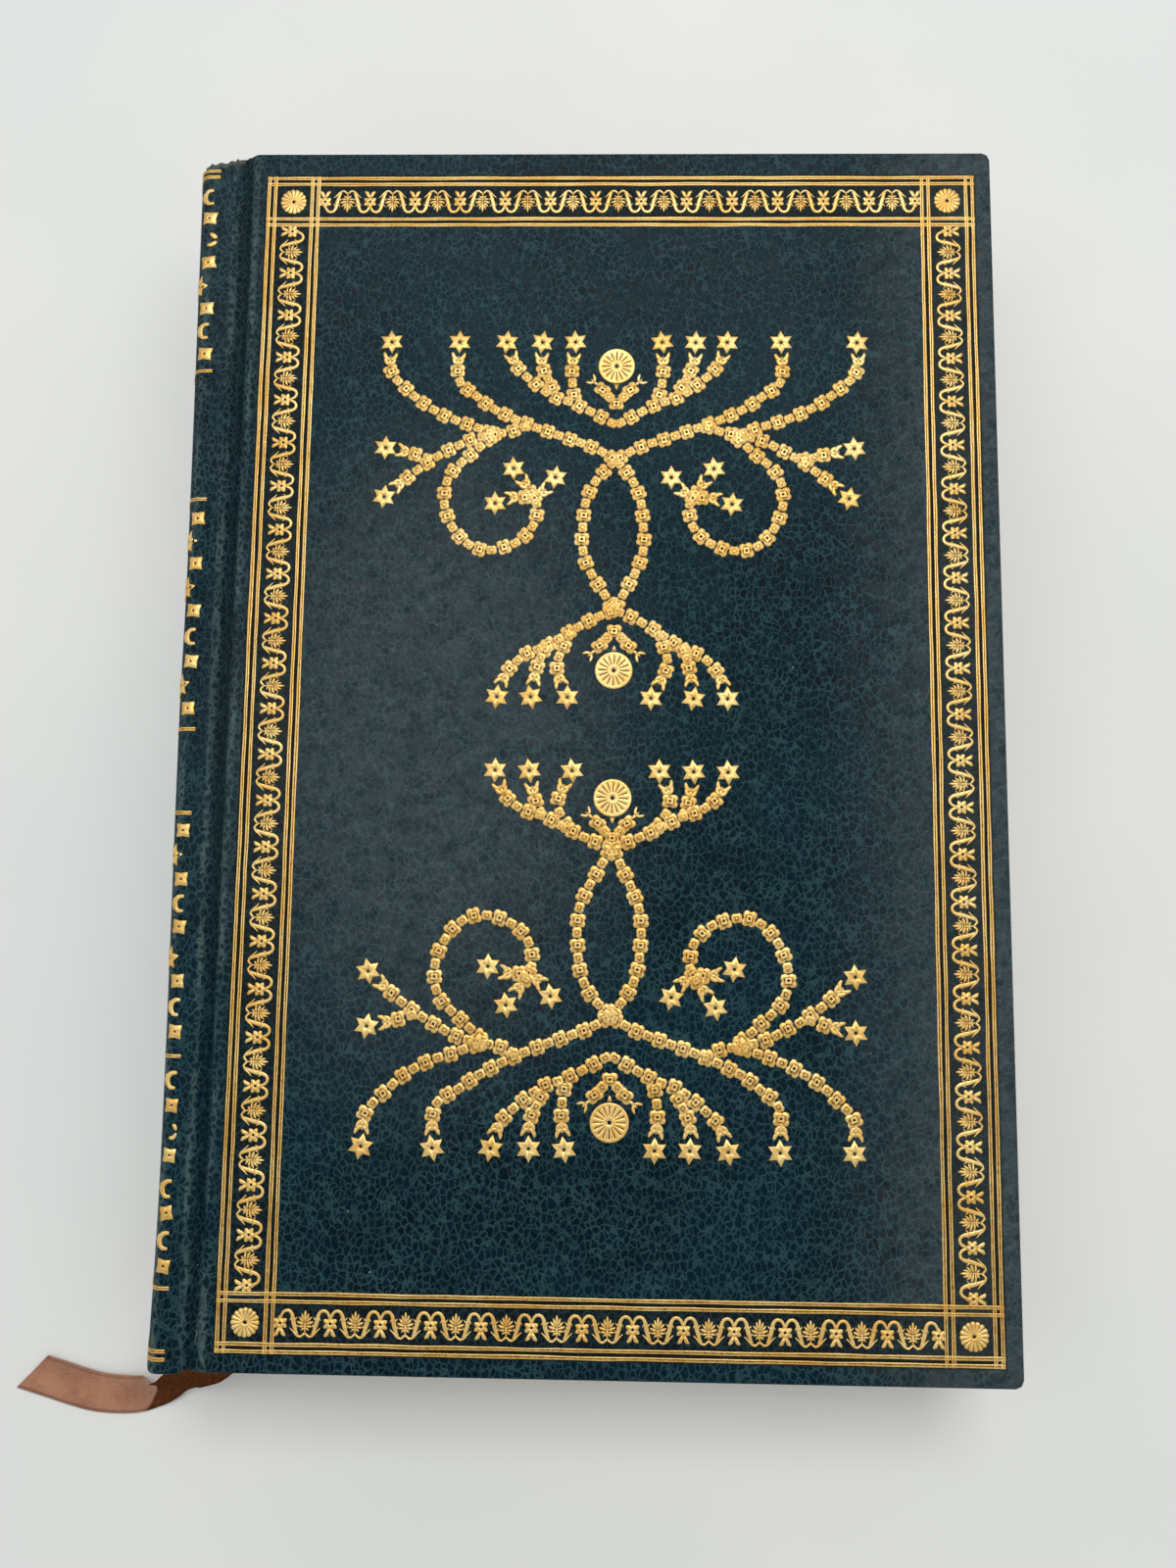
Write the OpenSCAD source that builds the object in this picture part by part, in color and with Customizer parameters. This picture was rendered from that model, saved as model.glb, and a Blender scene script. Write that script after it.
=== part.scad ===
/* [Covers] */
// Height of the boards from tail to head
cover_h = 200; // [160:0.5:240]
// Width of each cover from the joint to the fore-edge
cover_w = 124.8; // [90:0.2:160]
// Thickness of each board
board_t = 2.4; // [1.8:0.1:3.5]
// Thickness of the leather
leather_t = 0.7; // [0.5:0.05:1]
// Thickness of a pasted endpaper leaf
paper_t = 0.15; // [0.1:0.01:0.3]
// Radius of the covers' outer corners
corner_r = 1.4; // [0.8:0.1:3]
// Rounding of the leather over the boards' edges
edge_r = 0.6; // [0.3:0.05:0.65]
// Width of the leather turned in over the inside of a board
turn_in = 15; // [8:0.5:20]
// Leather left showing round a pastedown
turn_in_show = 3.5; // [2:0.5:6]

/* [Pages] */
// Thickness of all the pages together, with both flyleaves
pages_t = 28; // [20:0.5:36]
// How far the boards stand past the pages on three sides
square_w = 3; // [2:0.25:5]
// Depth of the hollow in the fore-edge
fore_hollow = 3.6; // [1:0.1:5]
// Clearance between a closed cover and the flyleaf below it
leaf_gap = 0.25; // [0.2:0.05:0.6]

/* [Spine] */
// Outer radius of the rounded spine
spine_r = 40; // [36:0.5:60]
// Radius of the shoulder where the ridge turns into the spine
ridge_r = 2; // [1.6:0.1:2.6]
// Drop of the ridge below the face of the cover
ridge_drop = 0.6; // [0.2:0.1:1]
// Distance from the hinge line to where the flat ridge starts to round
ridge_off = 5; // [4:0.1:6]
// Width of the groove between board and ridge
groove_w = 4.4; // [3.5:0.1:5.5]
// Depth of the groove below the face of the cover
groove_d = 1.9; // [1.2:0.1:2.2]
// Thickness of the card strip inside the spine
inlay_t = 0.6; // [0.4:0.1:0.8]
// Thickness of the leather turned in at the ends of the spine
cap_t = 0.5; // [0.3:0.1:0.7]
// Air left between the spine and the lined back of the pages
hollow_gap = 0.3; // [0.2:0.05:0.6]
// Thickness of the cloth and paper lining on the back of the pages
lining_t = 0.5; // [0.3:0.1:0.8]
// Radius of the sewn bands at head and tail
band_r = 0.9; // [0.6:0.1:1.2]
// Drop of the stiff part of the spine below the inside of a cover
stiff_drop = 0.4; // [0.3:0.05:0.8]

/* [Gilding] */
// Thickness that the gold stands above the leather
gold_t = 0.08; // [0.06:0.01:0.15]
// Spread of the gold past the edge of each tool
gold_spread = 0.04; // [0.02:0.01:0.1]
// Width of a gold line
line_w = 0.42; // [0.3:0.02:0.6]
// Margin from the joint edge of the cover to the outer line
frame_joint = 2; // [1:0.1:5]
// Margin from the fore-edge to the outer line
frame_fore = 3.2; // [2:0.1:6]
// Margin from the head edge to the outer line
frame_head = 4.7; // [2:0.1:8]
// Margin from the tail edge to the outer line
frame_tail = 3.4; // [2:0.1:8]
// Distance between the two lines of a pair
pair_gap = 1.1; // [0.8:0.05:1.6]
// Width of the running vine between the line pairs
vine_w = 6.3; // [5:0.1:8]
// Length of one repeat of the running vine
vine_pitch = 7.6; // [6:0.1:12]
// Distance from one flower to the next on a garland
flower_pitch = 4.3; // [3.5:0.1:6]
// Half the width of a garland flower
flower_r = 1.35; // [0.7:0.05:1.6]
// Half the width of a garland stem
stem_r = 0.3; // [0.15:0.01:0.4]
// Radius of the six-pointed stars
star_r = 1.95; // [1.2:0.05:2.5]
// Radius of the round rosettes
rosette_r = 3.1; // [2:0.1:3.5]
// Radius of the corner rosettes of the frame
corner_rosette_r = 2.3; // [1.5:0.1:3]
// Height of the waves of the running vine, to each side
vine_h = 1.25; // [0.8:0.05:1.8]
// Half the width of a flower on the running vine
vine_flower_r = 1.15; // [0.6:0.05:1.4]
// Radius of the tools along the edges of the spine
mark_r = 1.15; // [0.8:0.05:1.3]
// Distance from the hinge line to the middle of those tools
mark_off = 5.1; // [4.9:0.05:5.6]
// Distance from the hinge line to where the gold lines of the spine begin
gild_off = 3.6; // [2.8:0.1:4]
// Distance from one tool to the next along the spine
mark_pitch = 4.1; // [3:0.1:8]

/* [Ribbon marker] */
// Width of the ribbon marker
ribbon_w = 7; // [4:0.5:9]
// Thickness of the ribbon marker
ribbon_t = 0.4; // [0.3:0.05:0.6]
// Clearance round the ribbon between the pages
ribbon_gap = 0.2; // [0.15:0.05:0.4]

/* [Hidden] */
$fn = 96;

// Thickness of one whole cover: leather, board and pastedown
cover_t = leather_t + board_t + paper_t;
// Thickness of the closed book
book_t = 2 * cover_t + 2 * leaf_gap + pages_t;
mid_z = book_t / 2;
// Height and level of the pages
pages_h = cover_h - 2 * square_w;
pages_z = cover_t + leaf_gap;
// Across the book, all places are measured from the hinge line
board_x = groove_w / 2;
fore_x = board_x + cover_w;
pages_x = fore_x - square_w;
// Centre of the ridge and of the rounded spine
ridge_z = book_t - ridge_drop - ridge_r;
spine_x = sqrt(pow(spine_r - ridge_r, 2) - pow(ridge_z - mid_z, 2)) - ridge_off;
// Angles at which the spine meets the ridge, and ends as a stiff strip
ridge_a = asin((ridge_z - mid_z) / (spine_r - ridge_r));
stiff_a = asin((mid_z - cover_t - stiff_drop) / spine_r);
// Film of glue between the pages and their lining
glue_t = 0.05;
// Radii from the leather inwards to the back of the pages
inlay_r = spine_r - leather_t;
cap_r = inlay_r - inlay_t;
lining_r = cap_r - cap_t - hollow_gap;
back_r = lining_r - lining_t - glue_t;
// The outermost line of the spine, and the shift that centres the book
spine_out = spine_x - spine_r - gold_t;
hinge_x = -(fore_x + spine_out) / 2;
// Size and centre of the gold frame
frame_w = cover_w - frame_joint - frame_fore;
frame_h = cover_h - frame_head - frame_tail;
frame_cx = board_x + frame_joint + frame_w / 2;
frame_cy = (frame_tail - frame_head) / 2;
// Distances of the four gold lines from the outside of the frame
lines = [0, pair_gap, pair_gap + vine_w, 2 * pair_gap + vine_w];
// Level of the ribbon between the pages and its line across the book
ribbon_z = 18.8;
ribbon_x = 3;

// Cover height that the places along the spine are given for
spine_field = 200;
// Gilded panels of the spine, as [tail end, head end] measured from the tail
panels = [[12, 49.5], [49.5, 86], [100, 139], [161.5, 195]];
// Heights of the double lines at the ends of the spine
end_lines = [1.2, 2.4, 196.8, 198];

// Size of the field that the garlands are drawn on
field_w = 120;
field_h = 192;
// Garlands in one quarter of the field, from its centre
garlands = [
    [[38, 66], [38, 61.5], [35, 58], [32, 55.5], [28.5, 53.5], [24.5, 52], [19.5, 50.5], [14.5, 52]],
    [[26.5, 66], [26.5, 60], [23.5, 57], [20, 54.5], [14.5, 52], [7.5, 49.5], [3.5, 48], [0, 46]],
    [[18.5, 66], [17, 62.5], [14, 59.5], [10.5, 57], [6.5, 55.5], [0, 52]],
    [[12.5, 66], [12.5, 62.5], [10.5, 58]],
    [[7, 66], [7.5, 61], [7, 56.5]],
    [[19.5, 50.5], [24, 49.5], [27, 48], [30.5, 46], [34.5, 43], [38.5, 39.5]],
    [[30.5, 46], [34, 47], [38.5, 48]],
    [[20.5, 50], [24.5, 46.5], [27.5, 43.5], [28.5, 39.5], [27.5, 35.5], [25, 32],
        [21.5, 30.5], [17, 31.5], [14, 34], [13, 37], [13.5, 39.5], [17, 44.5]],
    [[13.5, 39.5], [11.5, 41], [10, 43]],
    [[13.5, 39.5], [17, 39.5], [20, 38.5]],
    [[0, 46], [3, 42.5], [4.5, 39], [5, 35], [5, 31], [4, 27.5], [0, 20.5]],
    [[0, 20.5], [3.5, 19], [7, 17], [11, 14.5], [14.5, 13], [17.5, 10], [19, 6]],
    [[11, 14.5], [12.5, 11], [13.5, 6]],
    [[7, 17], [9, 12.5], [9, 9.5], [7.5, 6]]
];
stars = [[38, 66.5], [26.5, 66.5], [18.5, 66.5], [12.5, 66.5], [7, 66.5],
    [38.5, 48], [38.5, 39.5], [17, 44.5], [10, 43], [20, 38.5],
    [19, 6], [13.5, 6], [7.5, 6]];
rosettes = [[0, 62.5], [0, 10.5]];
// How much nearer to the centre the lower half's tools stand, by distance from it
lower_lift = [[0, 0], [6, 0], [10.5, 0.2], [20.5, 2.3], [30.5, 1.3], [46, 1.6], [66.5, 1.3]];

// Route of the ribbon as [x, y, z, roll]: x from the hinge line, y from the tail
route = [
    [3, 192, 18.8, 0], [3, 150, 18.8, 0], [3, 100, 18.8, 0], [3, 50, 18.8, 0],
    [3, 12, 18.8, 0], [3, 3, 18.8, 0], [2.2, 0, 18.6, 2], [0.4, -2.6, 18.1, 6],
    [-2.2, -5, 17.2, 14], [-5, -7.2, 15.6, 24], [-7.8, -9.4, 13.4, 36],
    [-10.4, -11.6, 10.6, 46], [-12.8, -13.7, 7.7, 52], [-15.2, -15.6, 5, 46],
    [-18, -17, 3.1, 28], [-21.2, -17.6, 1.7, 10], [-25.5, -17.1, 0.8, 4],
    [-32.2, -15.4, 0.5, 1], [-40, -12.8, 0.4, 0]
];

// Points on an arc, from angle a to angle b
function arc(cx, cz, r, a, b, n) =
    [for (i = [0 : n]) let (t = a + (b - a) * i / n) [cx + r * cos(t), cz + r * sin(t)]];
// A soft step from 0 to 1
function ease(t) = (1 - cos(180 * t)) / 2;
// Outline of a rectangle from (0, 0) to (w, h) with rounded corners
function rounded(w, h, r, n = 4) = concat(
    arc(w - r, h - r, r, 0, 90, n), arc(r, h - r, r, 90, 180, n),
    arc(r, r, r, 180, 270, n), arc(w - r, r, r, 270, 360, n));

// A smooth curve through points, as a list of closer points
function spline_at(a, b, c, d, t) = 0.5 * ((2 * b) + (c - a) * t
    + (2 * a - 5 * b + 4 * c - d) * t * t + (3 * b - a - 3 * c + d) * t * t * t);
function spline(p, m = 6) = concat([for (i = [0 : len(p) - 2], j = [0 : m - 1])
    spline_at(p[max(i - 1, 0)], p[i], p[i + 1], p[min(i + 2, len(p) - 1)], j / m)],
    [p[len(p) - 1]]);
// Distance along a list of points, at each point
function run(p) = [for (i = 0, s = 0; i < len(p);
    s = s + norm(p[min(i + 1, len(p) - 1)] - p[i]), i = i + 1) s];
// The point at distance s along a list of points p whose distances are c
function at(p, c, s) = [lookup(s, [for (i = [0 : len(p) - 1]) [c[i], p[i][0]]]),
    lookup(s, [for (i = [0 : len(p) - 1]) [c[i], p[i][1]]])];
function unit(v) = v / norm(v);
// Outline of a band along the points m, half as wide at each as half says
function outline(m, half) = let (n = len(m) - 1,
        side = [for (k = [0 : n]) let (d = unit(m[min(k + 1, n)] - m[max(k - 1, 0)])) [-d[1], d[0]]])
    concat([for (k = [0 : n]) m[k] + side[k] * half[k]],
        [for (k = [n : -1 : 0]) m[k] - side[k] * half[k]]);
// Outline of a chain of flowers along p, wide at each flower and narrow between
function chain(p, pitch, wide, neck) = let (
        c = run(p), total = c[len(c) - 1], n = 2 * max(round(total / pitch), 1))
    outline([for (k = [0 : n]) at(p, c, total * k / n)],
        [for (k = [0 : n]) k % 2 == 1 ? wide : neck]);
// Outline of a star with n points
function star(n, r, inner) = [for (i = [0 : 2 * n - 1])
    (i % 2 == 0 ? r : inner) * [cos(180 * i / n + 90), sin(180 * i / n + 90)]];

// Moves a piece from the hinge line to its place in the centred book
module in_book() translate([hinge_x, 0, 0]) children();
// The same piece on the other cover
module on_back() translate([0, 0, book_t]) mirror([0, 0, 1]) children();
// Extrudes a cross-section of the book from y0 to y1
module along_y(y0, y1) translate([0, y1, 0]) rotate([90, 0, 0]) linear_extrude(y1 - y0) children();
// Extrudes a side view of the book from x0 to x1
module along_x(x0, x1) translate([x0, 0, 0]) rotate([90, 0, 90]) linear_extrude(x1 - x0) children();
// A sector of a tube about the centre line of the spine, from angle -a to a
module spine_shell(r0, r1, a, h) intersection() {
    translate([spine_x, h / 2, mid_z]) rotate([90, 0, 0]) difference() {
        cylinder(r = r1, h = h);
        translate([0, 0, -1]) cylinder(r = r0, h = h + 2);
    }
    along_y(-h, h) polygon([[spine_x, mid_z],
        [spine_x - 2 * r1 * cos(a), mid_z - 2 * r1 * sin(a)],
        [spine_x - 2 * r1, mid_z],
        [spine_x - 2 * r1 * cos(a), mid_z + 2 * r1 * sin(a)]]);
}

// All the pages as one solid: rounded back, hollow fore-edge, slot for the ribbon
module text_block() color("#d8cdb4") in_book() difference() {
    intersection() {
        translate([spine_x - back_r, -pages_h / 2, pages_z + paper_t])
            cube([pages_x - spine_x + back_r, pages_h, pages_t - 2 * paper_t]);
        union() {
            translate([spine_x, pages_h / 2, mid_z]) rotate([90, 0, 0])
                cylinder(r = back_r, h = pages_h);
            translate([spine_x, -pages_h / 2, 0]) cube([cover_w, pages_h, book_t]);
        }
    }
    fore_edge_hollow();
    translate([ribbon_x - ribbon_w / 2 - ribbon_gap, -pages_h,
        ribbon_z - ribbon_t / 2 - ribbon_gap])
        cube([ribbon_w + 2 * ribbon_gap, pages_h * 1.5 - square_w,
            ribbon_t + 2 * ribbon_gap]);
}
// The curve of the fore-edge answers the curve of the back
module fore_edge_hollow() {
    r = (pow(pages_t / 2, 2) + pow(fore_hollow, 2)) / (2 * fore_hollow);
    translate([pages_x + r - fore_hollow, pages_h, mid_z]) rotate([90, 0, 0])
        cylinder(r = r, h = 2 * pages_h);
}
// Cloth and paper glued over the sewn back of the pages
module spine_lining() color("#b9a888") in_book()
    spine_shell(back_r + glue_t, lining_r, asin((pages_t / 2 - paper_t - 0.3) / lining_r), pages_h);

// A sewn band on the end of the pages, close to the back
module end_band() translate([spine_x, pages_h / 2, mid_z]) difference() {
    a = asin((pages_t / 2 - 2) / back_r);
    rotate([90, a - 180, 0]) rotate_extrude(angle = 2 * a)
        translate([back_r - band_r - lining_t / 2, -band_r * 0.9])
            rotate(22.5) circle(r = band_r, $fn = 8);
    translate([-2 * back_r, -2 * band_r, -book_t]) cube([4 * back_r, 2 * band_r, 2 * book_t]);
}
module head_band() color("#a8452f") in_book() end_band();
module tail_band() color("#a8452f") in_book() mirror([0, 1, 0]) end_band();

// A free endpaper on the outside of the pages
module flyleaf() difference() {
    translate([-ridge_off, -pages_h / 2, book_t - pages_z - paper_t])
        cube([pages_x + ridge_off, pages_h, paper_t]);
    fore_edge_hollow();
}
module front_flyleaf() color("#e0d6bd") in_book() flyleaf();
module back_flyleaf() color("#e0d6bd") in_book() on_back() flyleaf();

// Card strip that stiffens the spine, a leather's thickness short of its ends
module spine_inlay() color("#8d7a5c") in_book()
    spine_shell(cap_r, inlay_r, stiff_a - 1.5, cover_h - 2 * leather_t);
// Leather of the rounded spine, turned in over the card at head and tail
module spine_leather() color("#16323a") in_book() difference() {
    spine_shell(cap_r - cap_t, spine_r, stiff_a, cover_h);
    spine_shell(cap_r, inlay_r, stiff_a - 1.5, cover_h - 2 * leather_t);
    spine_shell(cap_r - 2 * cap_t, inlay_r - 0.01, stiff_a + 5, cover_h - 2 * turn_in);
}

// Outer line of the joint: board edge, groove, flat ridge, and round to the spine
function joint_line(out = 0, n = 5) = concat(
    [for (i = [0 : n]) let (t = i / n) [board_x * (1 - t), book_t - groove_d * ease(t) + out]],
    [for (i = [1 : n]) let (t = i / n) [-board_x * t,
        book_t - groove_d + (groove_d - ridge_drop) * ease(t) + out]],
    [for (i = [0 : 3]) let (t = 90 + (90 - ridge_a) * i / 3)
        [-ridge_off + (ridge_r + out) * cos(t), ridge_z + (ridge_r + out) * sin(t)]],
    [for (i = [1 : 2]) let (t = 180 - ridge_a + (ridge_a - stiff_a) * i / 2)
        [spine_x + (spine_r + out) * cos(t), mid_z + (spine_r + out) * sin(t)]]);
// Soft leather of the joint with the padding under its ridge
module joint_leather() along_y(-cover_h / 2, cover_h / 2) polygon(concat(
    joint_line(),
    [[spine_x - inlay_r * cos(stiff_a), mid_z + inlay_r * sin(stiff_a)],
        [-ridge_off - ridge_r / 2, book_t - pages_z],
        [-ridge_off / 2, book_t - pages_z],
        [-ridge_off / 3, book_t - groove_d - leather_t],
        [0, book_t - groove_d - leather_t],
        [board_x / 2, book_t - groove_d / 2 - leather_t],
        [board_x, book_t - leather_t]]));
module front_joint_leather() color("#14303a") in_book() joint_leather();
module back_joint_leather() color("#14303a") in_book() on_back() joint_leather();

// The plate of a covered board, with rounded edges on three sides
module cover_plate() {
    t = cover_t - paper_t;
    z = book_t - t;
    intersection() {
        along_y(-cover_h, cover_h) translate([board_x - cover_w, z])
            polygon(rounded(2 * cover_w, t, edge_r));
        along_x(board_x, fore_x) translate([-cover_h / 2, z])
            polygon(rounded(cover_h, t, edge_r));
        translate([board_x - cover_w, -cover_h / 2, z]) linear_extrude(t)
            polygon(rounded(2 * cover_w, cover_h, corner_r));
    }
}
// A board, rebated inside so that the turned-in leather lies flush
module board() {
    z = book_t - cover_t + paper_t;
    translate([board_x, -cover_h / 2 + leather_t, z + leather_t])
        cube([cover_w - leather_t, cover_h - 2 * leather_t, board_t - leather_t]);
    translate([board_x, -cover_h / 2 + turn_in, z])
        cube([cover_w - turn_in, cover_h - 2 * turn_in, leather_t]);
}
module cover_leather() difference() {
    cover_plate();
    board();
}
module pastedown() translate([board_x, -cover_h / 2 + turn_in_show, book_t - cover_t])
    cube([cover_w - turn_in_show, cover_h - 2 * turn_in_show, paper_t]);
module front_board() color("#8a8070") in_book() board();
module front_leather() color("#14303a") in_book() cover_leather();
module front_pastedown() color("#e0d6bd") in_book() pastedown();
module back_board() color("#8a8070") in_book() on_back() board();
module back_leather() color("#14303a") in_book() on_back() cover_leather();
module back_pastedown() color("#e0d6bd") in_book() on_back() pastedown();

// Lays a flat design in gold on the front cover, from the centre of the frame
module gild() translate([frame_cx, frame_cy, book_t]) linear_extrude(gold_t)
    offset(delta = gold_spread) children();
// Four lines on each side, crossing at the corners of the frame
module front_fillets() color("#c9983f") in_book() gild() {
    for (d = lines, s = [-1, 1]) {
        translate([s * (frame_w / 2 - d), 0])
            square([line_w, frame_h + line_w], center = true);
        translate([0, s * (frame_h / 2 - d)])
            square([frame_w + line_w, line_w], center = true);
    }
    for (sx = [-1, 1], sy = [-1, 1])
        translate([sx * (frame_w / 2 - vine_mid), sy * (frame_h / 2 - vine_mid)])
            polygon(star(8, corner_rosette_r, corner_rosette_r * 0.8));
}
vine_mid = pair_gap + vine_w / 2;
// One straight run of the vine: a wave with a flower at each crest
module vine(length) {
    n = max(round(length / vine_pitch), 1);
    p = length / n;
    nodes = 4 * n;
    polygon(outline(
        [for (k = [0 : nodes]) [p * k / 4 - length / 2, vine_h * sin(90 * k)]],
        [for (k = [0 : nodes]) k % 2 == 1 ? vine_flower_r : stem_r]));
}
module front_vine_roll() color("#c9983f") in_book() gild() {
    inner = 2 * (2 * pair_gap + vine_w) + 1;
    for (s = [0, 180]) {
        rotate(s) translate([0, frame_h / 2 - vine_mid]) vine(frame_w - inner);
        rotate(s + 90) translate([0, frame_w / 2 - vine_mid]) vine(frame_h - inner);
    }
}
// Sprays of garlands and stars, the same in each quarter of the cover
module front_sprays() color("#c9983f") in_book() gild() {
    sx = frame_w / field_w;
    sy = frame_h / field_h;
    for (mx = [-1, 1], my = [-1, 1]) {
        for (g = garlands)
            polygon(chain(spline([for (q = g) [mx * sx * q[0], my * sy * half_y(q[1], my)]]),
                flower_pitch, flower_r, stem_r));
        for (q = stars) translate([mx * sx * q[0], my * sy * half_y(q[1], my)])
            polygon(star(6, star_r, star_r * 0.5));
    }
    for (q = rosettes, my = [-1, 1]) translate([0, my * sy * half_y(q[1], my)])
        polygon(star(8, rosette_r, rosette_r * 0.75));
}
// Distance of a tool from the centre of the field, in the upper or the lower half
function half_y(y, half) = half > 0 ? y : y - lookup(y, lower_lift);

// Place on the spine of a height that is given for a cover spine_field high
function spine_y(y) = y * cover_h / spine_field - cover_h / 2;
// Top view of the gold lines across the spine
module spine_lines() for (y = concat(end_lines, [for (p = panels) each p]))
    translate([2 * spine_out, spine_y(y) - line_w / 2])
        square([-2 * spine_out - gild_off, line_w]);
// Top view of the tools on the ridge: squares and stars in turn
module spine_tools() for (p = panels) {
    n = round((spine_y(p[1]) - spine_y(p[0])) / mark_pitch);
    for (k = [1 : n - 1])
        translate([-mark_off, spine_y(p[0] + (p[1] - p[0]) * k / n)])
            polygon(k % 2 == 0 ? star(4, mark_r, mark_r * 0.45) : star(2, mark_r, mark_r * 0.8));
}
module spine_gilding() color("#c9983f") in_book() intersection() {
    spine_shell(spine_r, spine_r + gold_t, stiff_a, cover_h);
    linear_extrude(book_t) spine_lines();
}
// Gold on the ridge and its shoulder, laid on from above
module joint_gilding() intersection() {
    along_y(-cover_h / 2, cover_h / 2) polygon(concat(joint_line(gold_t),
        [for (i = [len(joint_line()) - 1 : -1 : 0]) joint_line()[i]]));
    translate([0, 0, mid_z]) linear_extrude(book_t) children();
}
module front_joint_gilding() color("#c9983f") in_book() joint_gilding() {
    spine_lines();
    spine_tools();
}
module back_joint_gilding() color("#c9983f") in_book() on_back() joint_gilding() spine_lines();

// Corners of a flat eight-sided section
function ribbon_ring(q, d) = let (
        along = unit(d), side = unit(cross(along, [0, 0, 1])), up = cross(side, along),
        w = side * cos(q[3]) + up * sin(q[3]), u = cross(w, along),
        a = ribbon_w / 2, b = ribbon_t / 2)
    [for (c = [[a, 0], [a - b, b], [0, b], [b - a, b], [-a, 0], [b - a, -b], [0, -b], [a - b, -b]])
        [q[0], q[1] - cover_h / 2, q[2]] + w * c[0] + u * c[1]];
// Ribbon marker: from the head, down between the pages and out onto the table
module ribbon_marker() color("#9c6a50") in_book() {
    n = len(route);
    rings = [for (i = [0 : n - 1]) let (a = route[max(i - 1, 0)], b = route[min(i + 1, n - 1)])
        each ribbon_ring(route[i], [b[0] - a[0], b[1] - a[1], b[2] - a[2]])];
    polyhedron(points = rings, faces = concat(
        [[for (k = [0 : 7]) k]],
        [for (i = [0 : n - 2], k = [0 : 7])
            [i * 8 + k, i * 8 + 8 + k, i * 8 + 8 + (k + 1) % 8, i * 8 + (k + 1) % 8]],
        [[for (k = [7 : -1 : 0]) (n - 1) * 8 + k]]));
}

text_block();
spine_lining();
head_band();
tail_band();
front_flyleaf();
back_flyleaf();
spine_inlay();
spine_leather();
spine_gilding();
front_joint_leather();
back_joint_leather();
front_joint_gilding();
back_joint_gilding();
ribbon_marker();
front_board();
front_leather();
front_pastedown();
front_fillets();
front_vine_roll();
front_sprays();
back_board();
back_leather();
back_pastedown();
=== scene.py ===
# %% [markdown]
# # An antique leather book
#
# A small gift binding in blue-green pebbled leather lies on a pale table. A frame, a running
# vine and two sprays of garlands are tooled in gold on its cover, and a ribbon marker comes
# out at the tail. The construction model gives every place and size. This lesson dresses it:
# each piece is a surface worked out with numpy, and each finish is built from shader nodes.

# %% Load the construction model
import math
from functools import partial

import bpy
import numpy as np
from mathutils import Matrix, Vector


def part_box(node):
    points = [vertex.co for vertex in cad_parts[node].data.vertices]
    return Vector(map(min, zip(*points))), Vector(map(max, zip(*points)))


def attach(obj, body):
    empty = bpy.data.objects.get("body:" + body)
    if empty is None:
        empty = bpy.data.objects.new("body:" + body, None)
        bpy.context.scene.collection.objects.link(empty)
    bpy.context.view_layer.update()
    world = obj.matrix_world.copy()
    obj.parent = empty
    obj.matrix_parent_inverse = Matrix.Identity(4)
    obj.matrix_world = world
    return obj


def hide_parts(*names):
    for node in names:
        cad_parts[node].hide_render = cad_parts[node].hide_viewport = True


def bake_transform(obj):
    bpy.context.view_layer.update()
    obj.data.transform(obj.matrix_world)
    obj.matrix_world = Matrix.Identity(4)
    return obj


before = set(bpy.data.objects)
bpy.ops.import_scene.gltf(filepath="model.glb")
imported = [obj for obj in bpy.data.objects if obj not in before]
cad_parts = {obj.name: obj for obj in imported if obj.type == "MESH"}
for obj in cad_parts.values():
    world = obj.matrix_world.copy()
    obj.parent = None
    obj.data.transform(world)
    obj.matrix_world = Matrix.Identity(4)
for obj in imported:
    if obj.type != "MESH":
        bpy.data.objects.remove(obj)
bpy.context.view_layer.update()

# %% [markdown]
# Everything below is written in millimetres and made metres only when it enters a mesh.
# The driving sizes of the book are read from the model, so a changed book changes the scene.
# Across the book, places are measured from the hinge line, and a few sizes of the spine are
# repeated from the model: its radius, the flat ridge beside the groove and its shoulder.

# %% The book's own measures
MM = 0.001


def node_box(node):
    """The lowest and highest corners of a construction node, in millimetres."""
    low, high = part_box(node)
    return np.array(low) / MM, np.array(high) / MM


cover_low, cover_high = node_box("front_leather")
pages_low, pages_high = node_box("text_block")
groove_half = 2.2
hinge = cover_low[0] - groove_half
top = cover_high[2]
middle = top / 2
half_height = cover_high[1]
fore = cover_high[0] - hinge
cover_t = top - node_box("front_pastedown")[0][2]
spine_r, ridge_r, ridge_off = 40.0, 2.0, 5.0
groove_d, ridge_drop, stiff_drop = 1.9, 0.6, 0.4
ridge_z = top - ridge_drop - ridge_r
spine_x = math.sqrt((spine_r - ridge_r) ** 2 - (ridge_z - middle) ** 2) - ridge_off
ridge_turn = 180 - math.degrees(math.asin((ridge_z - middle) / (spine_r - ridge_r)))
stiff_turn = 180 - math.degrees(math.asin((middle - cover_t - stiff_drop) / spine_r))
print("hinge line at", round(hinge, 2), "cover to", round(fore, 2), "top at", round(top, 2))

# %% [markdown]
# ## Camera
#
# The picture was taken with a phone, held low over the book and tipped a little. Its place
# was worked out from the four corners of the gold frame, so the same frame meets the same
# corners here. The long side of the picture is the sensor's 36 mm.

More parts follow.
